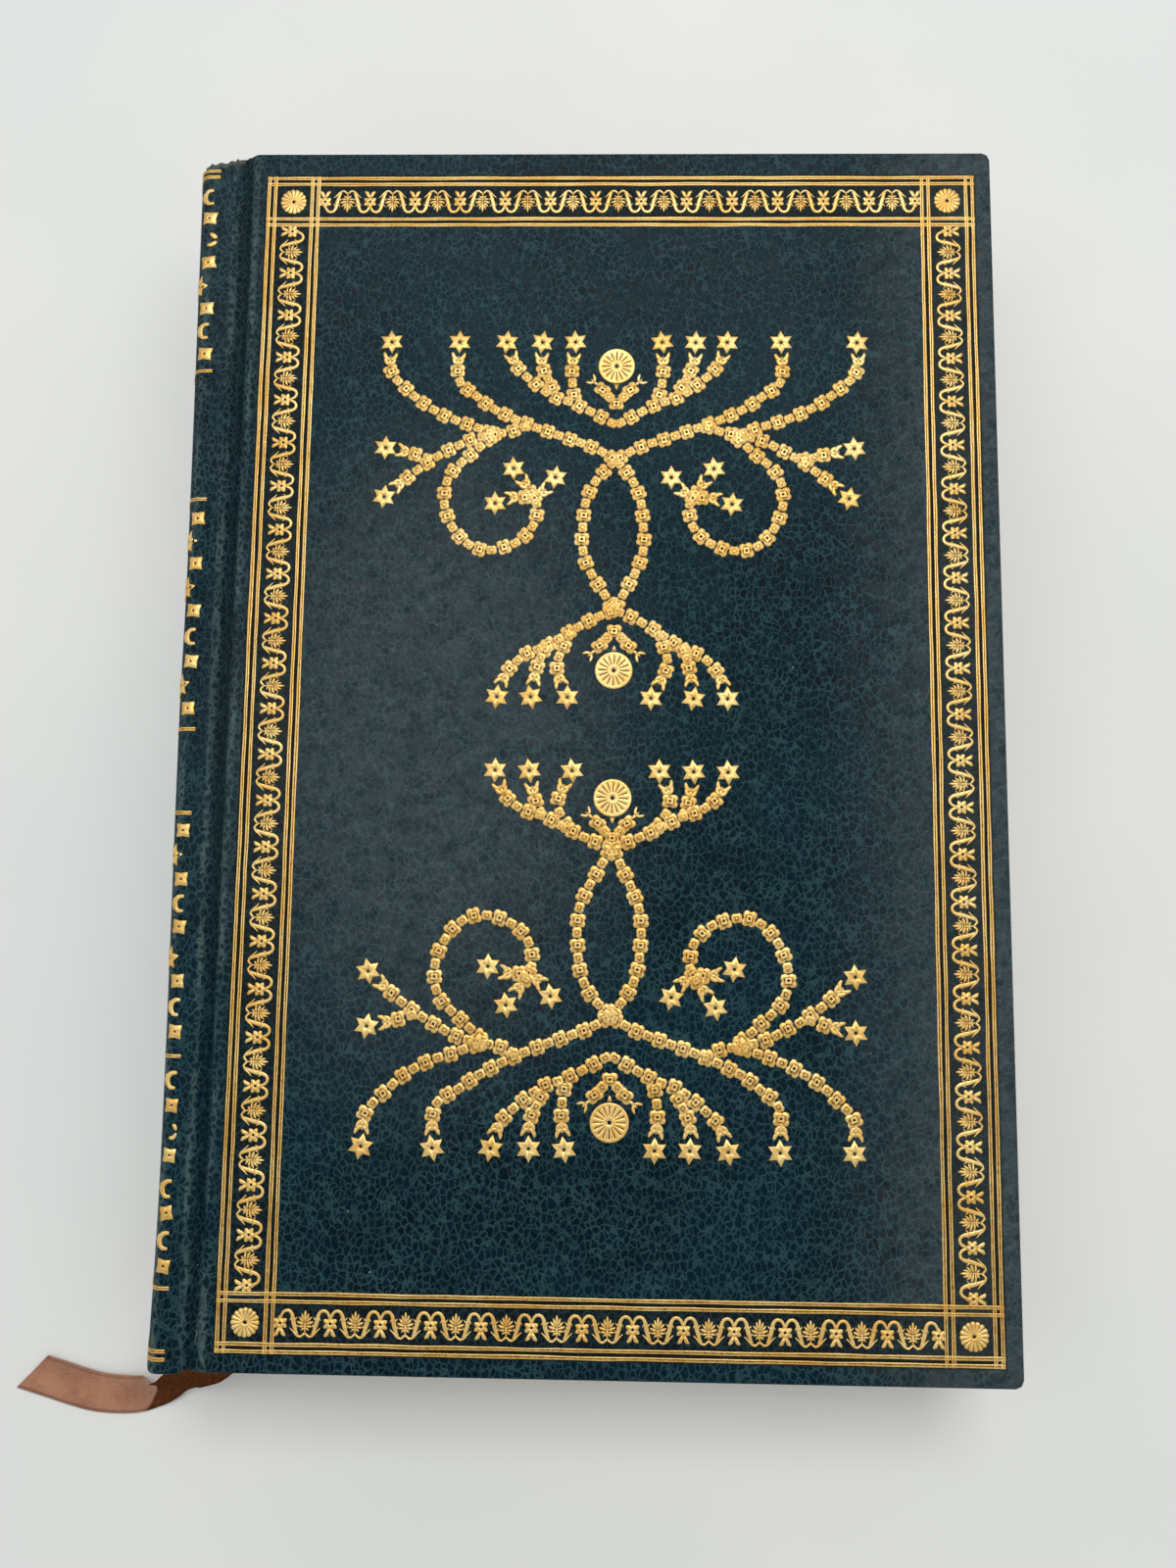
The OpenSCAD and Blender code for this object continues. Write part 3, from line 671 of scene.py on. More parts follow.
def skin(first_turn, step, back):
    """All points, faces and worn rims of one cover's leather, in the book's frame, seen as
    the front."""
    line, wrap = skin_line(first_turn, step)
    normal = line_normals(line)
    y_end = half_height - edge_r
    y = np.linspace(-y_end, y_end, int(2 * y_end / step) + 1)
    n, m = len(line), len(y)
    sheet = np.empty((n, m, 3))
    sheet[:, :, 0], sheet[:, :, 1], sheet[:, :, 2] = line[:, :1], y, line[:, 1:]
    flat_x = sheet[:, :, 0].copy()
    tail = 0.6 * ease((-0.6 - line[:, 0]) / 2)[:, None] * ease((10 - y - y_end) / 10)
    sheet[:, :, 1] -= tail
    rag = 0.22 * np.sin(np.arange(n) * 1.9) * (line[:, 0] < -1.5)
    sheet[:, :, 1] -= (head_loss(line[:, 0]) + rag)[:, None] * ease((y - y_end + 12) / 12)
    if not back:
        sheet[:, :, 2] += joint_fill(flat_x, sheet[:, :, 1], sheet[:, :, 2])
    sheet[:, :, 2] += swell(flat_x, sheet[:, :, 1]) + ripples(flat_x, sheet[:, :, 1])
    sheet[:, :, 0] += spine_sway(flat_x, sheet[:, :, 1])
    rows = np.concatenate([np.arange(n), np.full(m - 2, n - 1), np.arange(n)[::-1]])
    cols = np.concatenate([np.zeros(n, int), np.arange(1, m - 1), np.full(n, m - 1)])
    out = np.stack([rows == n - 1, (cols == m - 1) * 1.0 - (cols == 0)], -1)
    inward = -normal[rows]
    inward[line[rows, 0] > -ridge_off] = [0, -1]
    base = sheet[rows, cols]
    x_end = line[-1, 0]
    rings = []
    for outward, depth, share in edge_rings():
        down = depth + share * wrap[rows]
        point = base.copy()
        board = np.clip((base[:, 0] - groove_half) / (x_end - groove_half), 0, 1)
        point[:, 0] += np.where(out[:, 0] > 0, outward, outward * board) + inward[:, 0] * down
        point[:, 1] += np.where(out[:, 1] != 0, out[:, 1] * outward, outward * base[:, 1] / y_end)
        point[:, 2] += inward[:, 1] * down
        rings.append(point)
    points = np.vstack([sheet.reshape(-1, 3), *rings])
    points[:, :2] = round_corners(points[:, :2])
    border = rows * m + cols
    rim = (cols == m - 1) & (line[rows, 0] < -0.6)
    worn = np.zeros(len(points))
    worn[border[rim]] = 1
    ring_number = np.repeat(np.arange(len(rings)), len(rows))
    worn[n * m:] = np.tile(rim, len(rings)) * (ring_number < worn_rings)
    ids = np.arange(len(rings) * len(rows)).reshape(len(rings), len(rows)) + n * m
    return points, [grid_faces(n, m), quads_of(np.vstack([border, ids]))], worn


def round_corners(plan):
    """Turns the square corners into round ones: past the corner's centre, the larger of the
    two distances from it becomes the straight distance from it."""
    centre = np.array([fore - corner_r, half_height - corner_r])
    past = np.stack([plan[:, 0] - centre[0], np.abs(plan[:, 1]) - centre[1]], -1)
    inside = (past > 0).all(1)
    reach = past.max(1) / np.maximum(np.linalg.norm(past, axis=1), 1e-9)
    moved = centre + past * reach[:, None]
    moved[:, 1] *= np.sign(plan[:, 1])
    return np.where(inside[:, None], moved, plan)


def lay_skin(name, first_turn, step, nodes, back=False):
    """Makes one leather skin with its thickness."""
    points, faces, worn = skin(first_turn, step, back)
    points[:, 0] += hinge
    if back:
        points[:, 2] = top - points[:, 2]
        faces = [f[:, ::-1] for f in faces]
    piece = new_piece(name, points, faces, leather)
    point_values(piece, "worn", worn)
    thick = piece.modifiers.new("thickness", "SOLIDIFY")
    thick.thickness = skin_t * MM
    thick.offset = -1
    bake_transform(piece)
    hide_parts(*nodes)


lay_skin("front_skin", 360 - stiff_turn, 1.25,
         ["front_leather", "front_joint_leather", "spine_leather"])
lay_skin("back_skin", stiff_turn, 2.5,
         ["back_leather", "back_joint_leather"], back=True)

# %% [markdown]
# ## Gold finish
#
# Gold leaf is laid on the leather and pressed in with a hot brass tool. Each impression has
# fine ribs and hollows that catch the light. The pieces carry a number, relief, from 0 at the
# rim and in the hollows to 1 on the ribs, and the finish turns it from a painted brown shade
# into bright gold: the shade at the rim and in the hollows, and the highlight on the ribs, are
# painted.

# %% Gold


def gold_finish():
    """Painted highlight on the ribs, painted brown shade in the hollows and at the rim, with worn
    flecks.
    """
    material, shader = finish("gold_leaf", Metallic=0.62)
    place = place_of(shader)
    grain = noise(place, 1700, 3, 0.6)
    cloud = noise(place, 140, 4, 0.6)
    # painted shade and highlight: low relief is painted brown, high relief bright gold
    relief_shade = plus(stored(shader, "relief"), times(minus(grain, 0.5), 0.7))
    leaf = mix(level(cloud, 0.3, 0.7), paint("e2b35c"), paint("f3d48a"))
    leaf = mix(level(relief_shade, 0.75, 0.25), leaf, paint("c9963f"))
    colour = mix(level(relief_shade, 0.42, 0.1), leaf, paint("4a3014"))
    feed(shader, Base_Color=colour, Roughness=level(grain, 0.3, 0.7, 0.38, 0.56),
         Normal=bump(grain, 0.00006, 0.7))
    return material


gold = gold_finish()

# %% [markdown]
# ## Parts of the tooling
#
# Every tool is drawn flat, in millimetres, with its height above the leather as the third
# number. There are two kinds of part: a raised line of changing width, and a disc whose rim
# and height change with the angle. A part is its points, its four-sided and its
# three-sided faces, so parts can be joined, turned and stamped many times in one step.

# %% Raised lines and discs
# The height of every tool's rim over the leather, and the rise over it that is full relief.
RIM, RELIEF = -0.05, 0.17
draw = np.random.default_rng(7)
NO_TRIS = np.zeros((0, 3), int)
BEAD = (np.array([-1, -0.66, -0.22, 0.22, 0.66, 1]), np.array([0, 0.8, 1, 1, 0.8, 0]),
        np.array([[0, 5, 4, 1], [1, 4, 3, 2]]))
FILLET = (np.array([-1, -0.74, -0.12, 0.12, 0.74, 1]), np.array([0, 1, 0.3, 0.3, 1, 0]),
          np.array([[5, 4, 1, 0], [4, 3, 2, 1]]))


def raised_line(line, half, rise=0.11, section=BEAD):
    """A six-sided section carried along a flat line, as wide to each side as half says: two
    rim points just under the leather and four over it. BEAD is round on top; FILLET is a gold
    line as its wheel presses it, two bright lips with a hollow between them."""
    line = np.asarray(line, float)
    across, height, end = section
    width = across * np.broadcast_to(half, len(line))[:, None]
    points = np.empty((len(line), 6, 3))
    points[:, :, :2] = line[:, None] + line_normals(line)[:, None] * width[:, :, None]
    points[:, :, 2] = RIM + (rise - RIM) * height
    quads = [grid_faces(len(line), 6, wrap=True), end[:, ::-1], end + 6 * (len(line) - 1)]
    return points.reshape(-1, 3), np.vstack(quads), NO_TRIS


def disc(sectors, rings, rim, height, centre):
    """Rings of points about a centre: ring r stands r times rim(angle) away from it and
    height(r, angle) high; the last ring is the rim, and a flat underside closes it."""
    angle = np.arange(sectors) * 2 * np.pi / sectors
    r = np.array(rings)[:, None]
    reach = r * rim(angle)
    tall = np.broadcast_to(height(r, angle[None, :]), reach.shape).copy()
    tall[-1] = RIM
    ring = np.stack([reach * np.cos(angle), reach * np.sin(angle), tall], -1).reshape(-1, 3)
    points = np.vstack([ring, [[0, 0, centre], [0, 0, RIM]]])
    first, last = np.arange(sectors), np.arange(sectors) + (len(rings) - 1) * sectors
    fans = np.vstack([fan_faces(first, len(ring)), fan_faces(last, len(ring) + 1)[:, [1, 0, 2]]])
    return points, grid_faces(len(rings), sectors, wrap=True), fans


def join(*parts):
    """Several parts as one."""
    points, quads, tris = zip(*parts)
    offset = np.cumsum([0] + [len(p) for p in points])
    return (np.vstack(points), *(np.vstack([f + o for f, o in zip(faces, offset)])
                                 for faces in (quads, tris)))


def stamp(part, places, turns, slip=0.0):
    """Copies of a part, each turned and moved to its place; slip is how far, in half
    millimetres and in radians, the binder's hand strays."""
    points, quads, tris = part
    places = np.atleast_2d(np.asarray(places, float))
    n = len(places)
    places = places + draw.normal(0, slip, (n, 2)) * 0.5
    turns = np.broadcast_to(turns, n) + draw.normal(0, slip, n)
    c, s = np.cos(turns)[:, None], np.sin(turns)[:, None]
    x, y = points[None, :, 0], points[None, :, 1]
    made = np.stack([x * c - y * s + places[:, :1], x * s + y * c + places[:, 1:],
                     np.broadcast_to(points[None, :, 2], (n, len(points)))], -1).reshape(-1, 3)
    shift = (np.arange(n) * len(points))[:, None, None]
    return made, (quads[None] + shift).reshape(-1, 4), (tris[None] + shift).reshape(-1, 3)


def gild(name, part, lay, nodes):
    """Makes one gilded piece: lay carries the flat part on to the book."""
    points, quads, tris = part
    piece = new_piece(name, lay(points), [quads, tris], gold)
    point_values(piece, "relief", np.clip((points[:, 2] - RIM) / RELIEF, 0, 1))
    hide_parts(*nodes)
    return piece


# %% [markdown]
# ## The frame of gold lines
#
# A binder rolls each line along a straight edge with a small wheel. The lines of a pair lie
# 1.1 mm apart, run on to the outside of the frame and cross at its corners. They are never
# quite even, so their width and place waver a little. A sixteen-petalled rosette is stamped
# in each corner.

# %% Lines and corner rosettes
frame_low, frame_high = node_box("front_fillets")
line_w, model_line_w, pair_w, vine_w = 0.66, 0.42, 1.1, 6.3
frame_size = (frame_high - frame_low)[:2] - model_line_w - 0.08
frame_middle = (frame_high + frame_low)[:2] / 2
line_steps = np.array([0, pair_w, 7.4, 8.5])
vine_middle = pair_w + vine_w / 2
print("gold frame", frame_size.round(2), "mm")


def on_cover(points):
    """Lays flat work on the front cover: its origin is the middle of the gold frame."""
    x, y = points[:, 0] + frame_middle[0], points[:, 1] + frame_middle[1]
    return np.stack([x, y, top + swell(x - hinge, y) + points[:, 2]], -1)


def waver(count, size):
    """A slow random wander: smoothed noise of about that size."""
    rough = draw.normal(0, 1, count + 12)
    smooth = np.convolve(rough, np.hanning(13) / np.hanning(13).sum(), "valid")
    return smooth / max(smooth.std(), 1e-6) * size


def frame_lines():
    """Four lines along each side of the frame."""
    parts = []
    for side in range(4):
        across, end = frame_size[side % 2] / 2, frame_size[1 - side % 2] / 2 + line_w / 2
        for step in line_steps:
            place = np.linspace(-end, end, len(np.arange(-end, end + 0.4, 0.8)))
            run = np.stack([across - step + waver(len(place), 0.02), place], -1)
            half = line_w / 2 + waver(len(place), 0.02)
            parts.append(stamp(raised_line(run, half, 0.10, FILLET), [[0, 0]], side * np.pi / 2))
    return join(*parts)


def many_petals(count, radius, hub):
    """A round rosette: hollow-edged petals, a scalloped rim and a pierced middle."""
    return disc(count * 4, [0.1, 0.17, 0.24, 0.45, 0.72, 0.9, 1.0],
                lambda a: radius * (1 - 0.06 * (1 - np.cos(count * a)) / 2),
                lambda r, a: np.where(r < hub, RIM, np.where(r < 0.22, 0.12, np.where(
                    np.cos(count * a) > -0.6, 0.115, np.where(r < 0.5, 0.0, -0.03)))), RIM)


corner = frame_size / 2 - vine_middle
corner_places = np.array([[a * corner[0], b * corner[1]] for a in (-1, 1) for b in (-1, 1)])
gold_frame = frame_lines()
rosettes = stamp(many_petals(16, 2.35, 0.12), corner_places, 0.1, slip=0.05)
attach(gild("gold_lines", join(gold_frame, rosettes), on_cover, ["front_fillets"]), "front_cover")

# %% [markdown]
# ## The running vine
#
# The band between the line pairs is one engraved wheel rolled along it. Its repeat is 7.6 mm:
# a six-petalled flower on two feet under the hoops of the stem, which then dips below an
# upright palmette. Thirteen repeats fit the short sides and twenty-three the long ones, with
# a flower at each end.

# %% One repeat of the vine


def tapered(line, half, step, rise=0.11):
    """A raised line that is fullest a third of the way along and thin at its ends."""
    smooth = smooth_line(line, step)
    swing = np.sin(np.pi * np.clip(0.12 + 0.8 * np.linspace(0, 1, len(smooth)), 0, 1))
    return raised_line(smooth, half * (0.35 + 0.65 * swing), rise)


def both(line, half, rise=0.11, step=0.42):
    """A raised line and its mirror image; half is the half width at equal steps along it."""
    parts = []
    for mirror in (1, -1):
        smooth = smooth_line(np.asarray(line) * [mirror, 1], step)
        t = np.linspace(0, 1, len(smooth))
        parts.append(raised_line(smooth, np.interp(t, np.linspace(0, 1, len(half)), half), rise))
    return parts


def vine_flower():
    """A six-petalled flower with a ring eye, standing on two rounded feet."""
    head = disc(24, [0.15, 0.27, 0.4, 0.52, 0.8, 1.0],
                lambda a: 1.34 * (0.84 + 0.16 * np.cos(6 * (a - np.pi / 2))),
                lambda r, a: np.where(r < 0.2, RIM, np.where(r < 0.45, 0.13, np.where(
                    r < 0.6, 0.04, 0.06 + 0.06 * np.cos(6 * (a - np.pi / 2))))), RIM)
    feet = both([[0.12, -0.7], [0.34, -1.2], [0.56, -1.66], [0.86, -1.84]],
                [0.2, 0.3, 0.4, 0.36, 0.2])
    return join(head, *feet)


def vine_stem():
    """The stem from the flower's head: a hoop above it, then down beside the palmette."""
    stem = [[0.1, 0.8], [0.32, 1.45], [0.8, 1.86], [1.42, 1.82], [1.84, 1.25], [2.0, 0.5],
            [2.2, -0.3], [2.5, -1.2], [2.78, -1.78]]
    parts = both(stem, [0.24, 0.27, 0.29, 0.3, 0.36, 0.42, 0.38, 0.3, 0.24])
    parts += both([[2.0, 0.4], [2.3, 0.58], [2.62, 0.95]], [0.2, 0.14, 0.07])
    parts += both([[1.9, 0.85], [1.62, 0.68], [1.45, 0.4]], [0.16, 0.12, 0.06])
    parts += both([[2.25, -0.6], [2.55, -0.5], [2.72, -0.12]], [0.18, 0.13, 0.06])
    return parts


def palmette(pitch):
    """A nine-leaved fan in a cup shaped like a w, whose ends run up beside the flowers."""
    q = pitch / 2
    parts = both([[0, -1.38], [q - 3.2, -1.95], [q - 2.6, -1.75], [q - 2.1, -1.2],
                  [q - 1.5, -0.65]], [0.18, 0.22, 0.2, 0.16, 0.08])
    parts.append(raised_line([[0, -1.45], [0, -0.7], [0, 0.2]], [0.16, 0.18, 0.12], 0.1))
    parts.append(raised_line([[0, 0.1], [0, 0.75], [0, 1.4], [0, 1.92]],
                             [0.12, 0.22, 0.27, 0.08], 0.125))
    tips = [[0.52, 1.48], [0.98, 0.98], [1.26, 0.32], [1.14, -0.42], [0.62, -1.0]]
    for tip, half in zip(tips, (0.24, 0.24, 0.24, 0.23, 0.22)):
        root = np.array([0.06, 0.42 * tip[1] - 0.2])
        bend = (root + tip) / 2 + [0.1, -0.05]
        parts += both([root, bend, tip], [0.08, half, half * 1.05, 0.08], 0.12, 0.5)
    return join(*parts)


# %% The vine on the four sides


def vine_side(length, repeats):
    """Flowers at both ends and between the palmettes; the end ones keep their inner stem."""
    pitch = length / repeats
    flowers = np.stack([np.arange(repeats + 1) * pitch - length / 2, np.zeros(repeats + 1)], -1)
    fans = (flowers[1:] + flowers[:-1]) / 2
    run = [stamp(vine_flower(), flowers, 0.0), stamp(palmette(pitch), fans, 0.0)]
    for k, stem in enumerate(vine_stem()):
        run.append(stamp(stem, flowers[:-1] if k % 2 == 0 else flowers[1:], 0.0))
    return join(*run), pitch


def vine_band():
    """Each side's run, turned so that the palmettes point to the middle of the cover."""
    parts = []
    for side in range(4):
        length, repeats = frame_size[side % 2] - 2 * line_steps[3] - 2.3, (13, 23)[side % 2]
        (points, quads, tris), pitch = vine_side(length, repeats)
        outward = frame_size[1 - side % 2] / 2 - vine_middle
        parts.append(stamp((points - [0, outward, 0], quads, tris), [[0, 0]], side * np.pi / 2))
        print("vine side", side, repeats, "repeats of", round(pitch, 2), "mm")
    return join(*parts)


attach(gild("gold_vine", vine_band(), on_cover, ["front_vine_roll"]), "front_cover")

# %% [markdown]
# ## Garlands, stars and rosettes
#
# The sprays are built from a handful of small tools, stamped one after another along curves
# that the binder drew first: a square flower with a round eye, a bud between two flowers, a
# double leaf before each star, and the six-pointed star itself. The curves are the same in
# each quarter of the cover, so one quarter is written down and mirrored.

# %% The small tools


def square_rim(size):
    """The outline of a square flower: full at its four corner petals, notched between them."""
    return lambda a: size * (0.8 + 0.38 * np.abs(np.sin(2 * a)) ** 1.3)


flower = disc(16, [0.14, 0.3, 0.46, 0.88, 1.0], square_rim(1.42),
              lambda r, a: np.where(r < 0.2, -0.02, np.where(r < 0.4, 0.135, np.where(
                  r < 0.6, -0.01, 0.02 + 0.11 * np.abs(np.sin(2 * a))))), -0.02)
flower = (flower[0] * [1, 0.86, 1], flower[1], flower[2])
bud = disc(12, [0.3, 0.86, 1.0], lambda a: 0.96 - 0.14 * np.cos(4 * a) - 0.08 * np.cos(2 * a),
           lambda r, a: np.where(r < 0.5, -0.01, 0.12 - 0.05 * np.cos(4 * a)), 0.11)
star = disc(12, [0.14, 0.26, 0.9, 1.0], lambda a: np.where(np.arange(12) % 2 == 0, 2.2, 1.24),
            lambda r, a: np.where(r < 0.2, RIM, 0.14 - 0.09 * (np.arange(12) % 2) * (r > 0.3)), RIM)
wheel = disc(64, [0.09, 0.13, 0.25, 0.33, 0.55, 0.76, 0.84, 0.93, 1.0], lambda a: 3.15 + 0 * a,
             lambda r, a: np.where(r > 0.8, np.where(r < 0.9, 0.06, 0.13), np.where(
                 r < 0.1, RIM, np.where(r < 0.3, 0.12, np.where(
                     np.cos(16 * a) > -0.6, 0.11, RIM - 0.01)))), RIM)


def leaf_pair():
    """Two tulip-shaped leaf pairs one over the other on a short stalk, pointing up."""
    parts = [raised_line([[0, -1.5], [0, -0.7], [0, 0.35]], [0.24, 0.36, 0.22], 0.11)]
    for base, reach in ((-1.05, 0.85), (-0.2, 1.08)):
        for side in (-1, 1):
            out = side * reach
            parts.append(tapered([[0, base], [out * 0.66, base + 0.36], [out, base + 1.2]],
                                 0.4, 0.35, 0.13))
    return join(*parts)


def fishtail():
    """A stalk that forks into two small curved leaves, pointing up."""
    return join(raised_line([[0, -1.0], [0, -0.4], [0, 0.15]], [0.2, 0.3, 0.3], 0.1),
                tapered([[0, 0], [0.5, 0.3], [0.92, 1.0]], 0.3, 0.3),
                tapered([[0, 0], [-0.5, 0.3], [-0.92, 1.0]], 0.3, 0.3),
                raised_line([[0, 0.1], [0, 0.7]], [0.24, 0.08], 0.1))


print("flower", len(flower[1]) + len(flower[2]), "faces; star", len(star[1]) + len(star[2]))

# %% The curves of one quarter
field = np.array([120.0, 192.0])
to_star = [
    [[14.5, 52], [19.5, 50.5], [24.5, 52], [28.5, 53.5], [32, 55.5], [35, 58], [38, 61.5],
     [38, 66.5]],
    [[0, 46], [3.5, 48], [7.5, 49.5], [14.5, 52], [20, 54.5], [23.5, 57], [26.5, 60], [26.5, 66.5]],
    [[0, 52], [6.5, 55.5], [10.5, 57], [14, 59.5], [17, 62.5], [18.5, 66.5]],
    [[10.5, 58], [12.5, 62.5], [12.5, 66.5]],
    [[7, 56.5], [7.5, 61], [7, 66.5]],
    [[19.5, 50.5], [24, 49.5], [27, 48], [30.5, 46], [34.5, 43], [38.5, 39.5]],
    [[30.5, 46], [34, 47], [38.5, 48]],
    [[20.5, 50], [24.5, 46.5], [27.5, 43.5], [28.5, 39.5], [27.5, 35.5], [25, 32],
     [21.5, 30.5], [17, 31.5], [14, 34], [13, 37], [13.5, 39.5], [17, 44.5]],
    [[13.5, 39.5], [11.5, 41], [10, 43]],
    [[13.5, 39.5], [17, 39.5], [20, 38.5]],
    [[0, 20.5], [3.5, 19], [7, 17], [11, 14.5], [14.5, 13], [17.5, 10], [19, 6]],
    [[11, 14.5], [12.5, 11], [13.5, 6]],
    [[7, 17], [9, 12.5], [9, 9.5], [7.5, 6]],
]
without_star = [[[0, 46], [3, 42.5], [4.5, 39], [5, 35], [5, 31], [4, 27.5], [0, 20.5]]]
wheel_places = [[0, 62.3], [0, 10.5]]
lower_lift = np.array([[0, 0], [6, 0], [10.5, 0.2], [20.5, 2.3], [30.5, 1.3], [46, 1.2],
                       [66.5, 1.3]])
strays = {(1, 1, 0): 2.2, (1, 1, 1): 1.0, (1, 1, 3): 0.7, (1, 1, 4): 0.6, (1, 1, 6): 1.0,
          (1, 1, 10): -0.5, (1, 1, 11): -0.5, (1, 1, 12): -1.4, (-1, -1, 0): 1.2,
          (-1, -1, 1): 1.2, (1, -1, 10): -0.5, (1, -1, 11): -0.5, (-1, -1, 12): -0.9}
bows = {(-1, -1, 0): (-0.9, 0.1, 0.8), (-1, -1, 1): (-0.8, 0.6, 0.65)}


def by_hand(line, mirror_x, mirror_y, which):
    """The binder's own place for a curve: the lower half sits a little nearer the middle, and
    a few ends stray from the mirror image, more and more towards the star. Two arms are bent
    a little more: a shift that falls off to both sides of a place along them."""
    line = np.array(line, float)
    if mirror_y < 0:
        line[:, 1] -= np.interp(line[:, 1], *lower_lift.T)
    if which in (7, 8, 9):
        line[:, 0] -= {(1, 1): 0.75, (-1, 1): 0.0}.get((mirror_x, mirror_y), 0.5)
    if which == len(to_star):
        line[:, 0] += -0.35 * mirror_x * ease(np.minimum(line[:, 1] - 20, 46 - line[:, 1]) / 6)
    stray = [strays.get((mirror_x, mirror_y, which), 0), 0]
    bow_x, bow_y, bow_at = bows.get((mirror_x, mirror_y, which), (0, 0, 0.5))
    t = np.linspace(0, 1, len(line))[:, None]
    line += ease(t) * stray + np.exp(-((t - bow_at) / 0.22) ** 2) * [bow_x, bow_y]
    return line * quarter_scale * [mirror_x, mirror_y]


def places_on(line, distances):
    """Points at these distances along a line, and the way it runs there as an angle from up."""
    run = run_of(line)
    way = along_line(line, run, distances + 0.4) - along_line(line, run, distances - 0.4)
    return along_line(line, run, distances), np.arctan2(way[:, 1], way[:, 0]) - np.pi / 2


def garland(line, star_end):
    """Stamps a chain along one curve. It begins at the star, if there is one, with a pair of
    leaves 2.9 mm behind it; flowers and buds follow in turn, at most 2.2 mm apart."""
    smooth = smooth_line(line, 0.25)
    length = run_of(smooth)[-1]
    parts = []
    if star_end:
        at, turn = places_on(smooth, np.array([length - 2.9]))
        parts += [stamp(star, smooth[-1:], np.pi / 2 + draw.uniform(-0.2, 0.2), slip=0.05),
                  stamp(leaf_pair(), at, turn, slip=0.04)]
    first = length - (5.1 if star_end else 1.0)
    count = max(int((first + 0.4) / 2.0) + 1, 0)
    if count > 0:
        pitch = min(first / max(count - 0.6, 1), 2.2) if count > 1 else 0
        spots = first - np.arange(count) * pitch
        at, turn = places_on(smooth, np.clip(spots, 0, length))
        parts.append(stamp(flower, at[::2], turn[::2], slip=0.06))
        if count > 1:
            parts.append(stamp(bud, at[1::2], turn[1::2], slip=0.05))
    return join(*parts)


def trefoil():
    """Three flowers, two buds, two forked leaves and a small point, under a wheel."""
    point = raised_line([[0, 0.4], [0, -0.5]], [0.5, 0.12], 0.1)
    parts = [stamp(flower, [[0, -6.5]], 0.0), stamp(point, [[0, -3.6]], 0.0)]
    for side in (-1, 1):
        parts += [stamp(flower, [[side * 2.35, -4.1]], side * 0.6),
                  stamp(bud, [[side * 1.2, -5.35]], side * 0.8),
                  stamp(fishtail(), [[side * 3.75, -2.75]], -side * 0.85)]
    return join(*parts)


# %% All four quarters
quarter_scale = frame_size / field
sprays = []
for mirror_x in (-1, 1):
    for mirror_y in (-1, 1):
        for which, line in enumerate(to_star + without_star):
            sprays.append(garland(by_hand(line, mirror_x, mirror_y, which), which < len(to_star)))
for mirror_y in (-1, 1):
    for place, towards in zip(wheel_places, (-1, 1)):
        at = by_hand([place], 1, mirror_y, -1)
        turn = 0.0 if towards * mirror_y < 0 else np.pi
        sprays += [stamp(wheel, at, 0.15, slip=0.03), stamp(trefoil(), at, turn)]
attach(gild("gold_sprays", join(*sprays), on_cover, ["front_sprays"]), "front_cover")
print("sprays", sum(len(p[1]) + len(p[2]) for p in sprays), "faces")
# %% [markdown]
# ## Gold on the spine
#
# The spine is tooled in panels. Its lines run right round it, from joint to joint; on the
# front shoulder, where a little of each panel shows beside the cover, squares with a pierced
# eye alternate with small stars and curled leaves. The gold is laid flat, with x running
# round the spine from the middle of its back, and then bent on to the leather.

# %% Laying gold round the spine
half_outline = skin_line(180, 0.5)[0]
half_outline = half_outline[half_outline[:, 0] < -3.3]
spine_outline = np.vstack([half_outline[:0:-1] * [1, -1] + [0, top], half_outline])
spine_out = line_normals(spine_outline)
spine_run = run_of(spine_outline)
spine_run -= spine_run[-1] / 2
shoulder = np.interp(-5.0, half_outline[:, 0], spine_run[-len(half_outline):])


def on_spine(points):
    """Bends flat work round the spine, with the leather's own sway and creases."""
    at = along_line(spine_outline, spine_run, points[:, 0])
    out = along_line(spine_out, spine_run, points[:, 0])
    lift = points[:, 2] + 0.02
    x = at[:, 0] + spine_sway(at[:, 0], points[:, 1]) + out[:, 0] * lift
    z = at[:, 1] + np.sign(points[:, 0]) * ripples(at[:, 0], points[:, 1]) + out[:, 1] * lift
    return np.stack([hinge + x, points[:, 1], z], -1)


# %% Lines and tools of the spine
line_places = [97.1, 96.0, 60.9, 38.5, -0.3, -14.0, -52.6, -87.8, -97.1, -98.3]
square_places = [88.5, 80.4, 72.1, 64.0, 35.2, 27.5, 19.5, 11.0, 3.1, -16.8, -24.7, -32.3,
                 -40.9, -48.8, -60.2, -67.8, -76.6, -84.5]
star_places = [76.2, 31.3, 23.4, 7.0, -20.9, -37.3]
drop_places = [84.5, -64.2]
leaf_places = [92.3, 68.1, 15.1, -28.6, -44.9, -56.3, -72.9, -80.7]
ends = spine_run[-1] - 0.25
around = np.linspace(-ends, ends, 90)
spine_gold = [raised_line(np.stack([around, y + waver(90, 0.02)], -1), 0.33 + waver(90, 0.015),
                          0.09, FILLET) for y in line_places]
square = disc(16, [0.13, 0.22, 0.4, 0.9, 1.0],
              lambda a: 1.16 / np.maximum(np.abs(np.cos(a)), np.abs(np.sin(a)))
              * (1 - 0.14 * np.cos(2 * a) ** 2),
              lambda r, a: np.where(r < 0.2, RIM, np.where(r < 0.3, 0.11, np.where(
                  r < 0.5, 0.04, 0.12))), RIM)
curl = join(tapered([[0.95, 1.15], [0.1, 1.1], [-0.5, 0.5], [-0.55, -0.4], [-0.1, -1.1],
                     [0.8, -1.2]], 0.5, 0.3),
            raised_line([[-0.75, 0.9], [-0.95, 0], [-0.75, -0.9]], [0.3, 0.5, 0.3]))
drops = join(tapered([[-0.15, 1.1], [0.3, 0.75], [0.55, 0.2]], 0.42, 0.3),
             tapered([[-0.6, -1.0], [0.1, -0.85], [0.6, -0.25]], 0.42, 0.3))

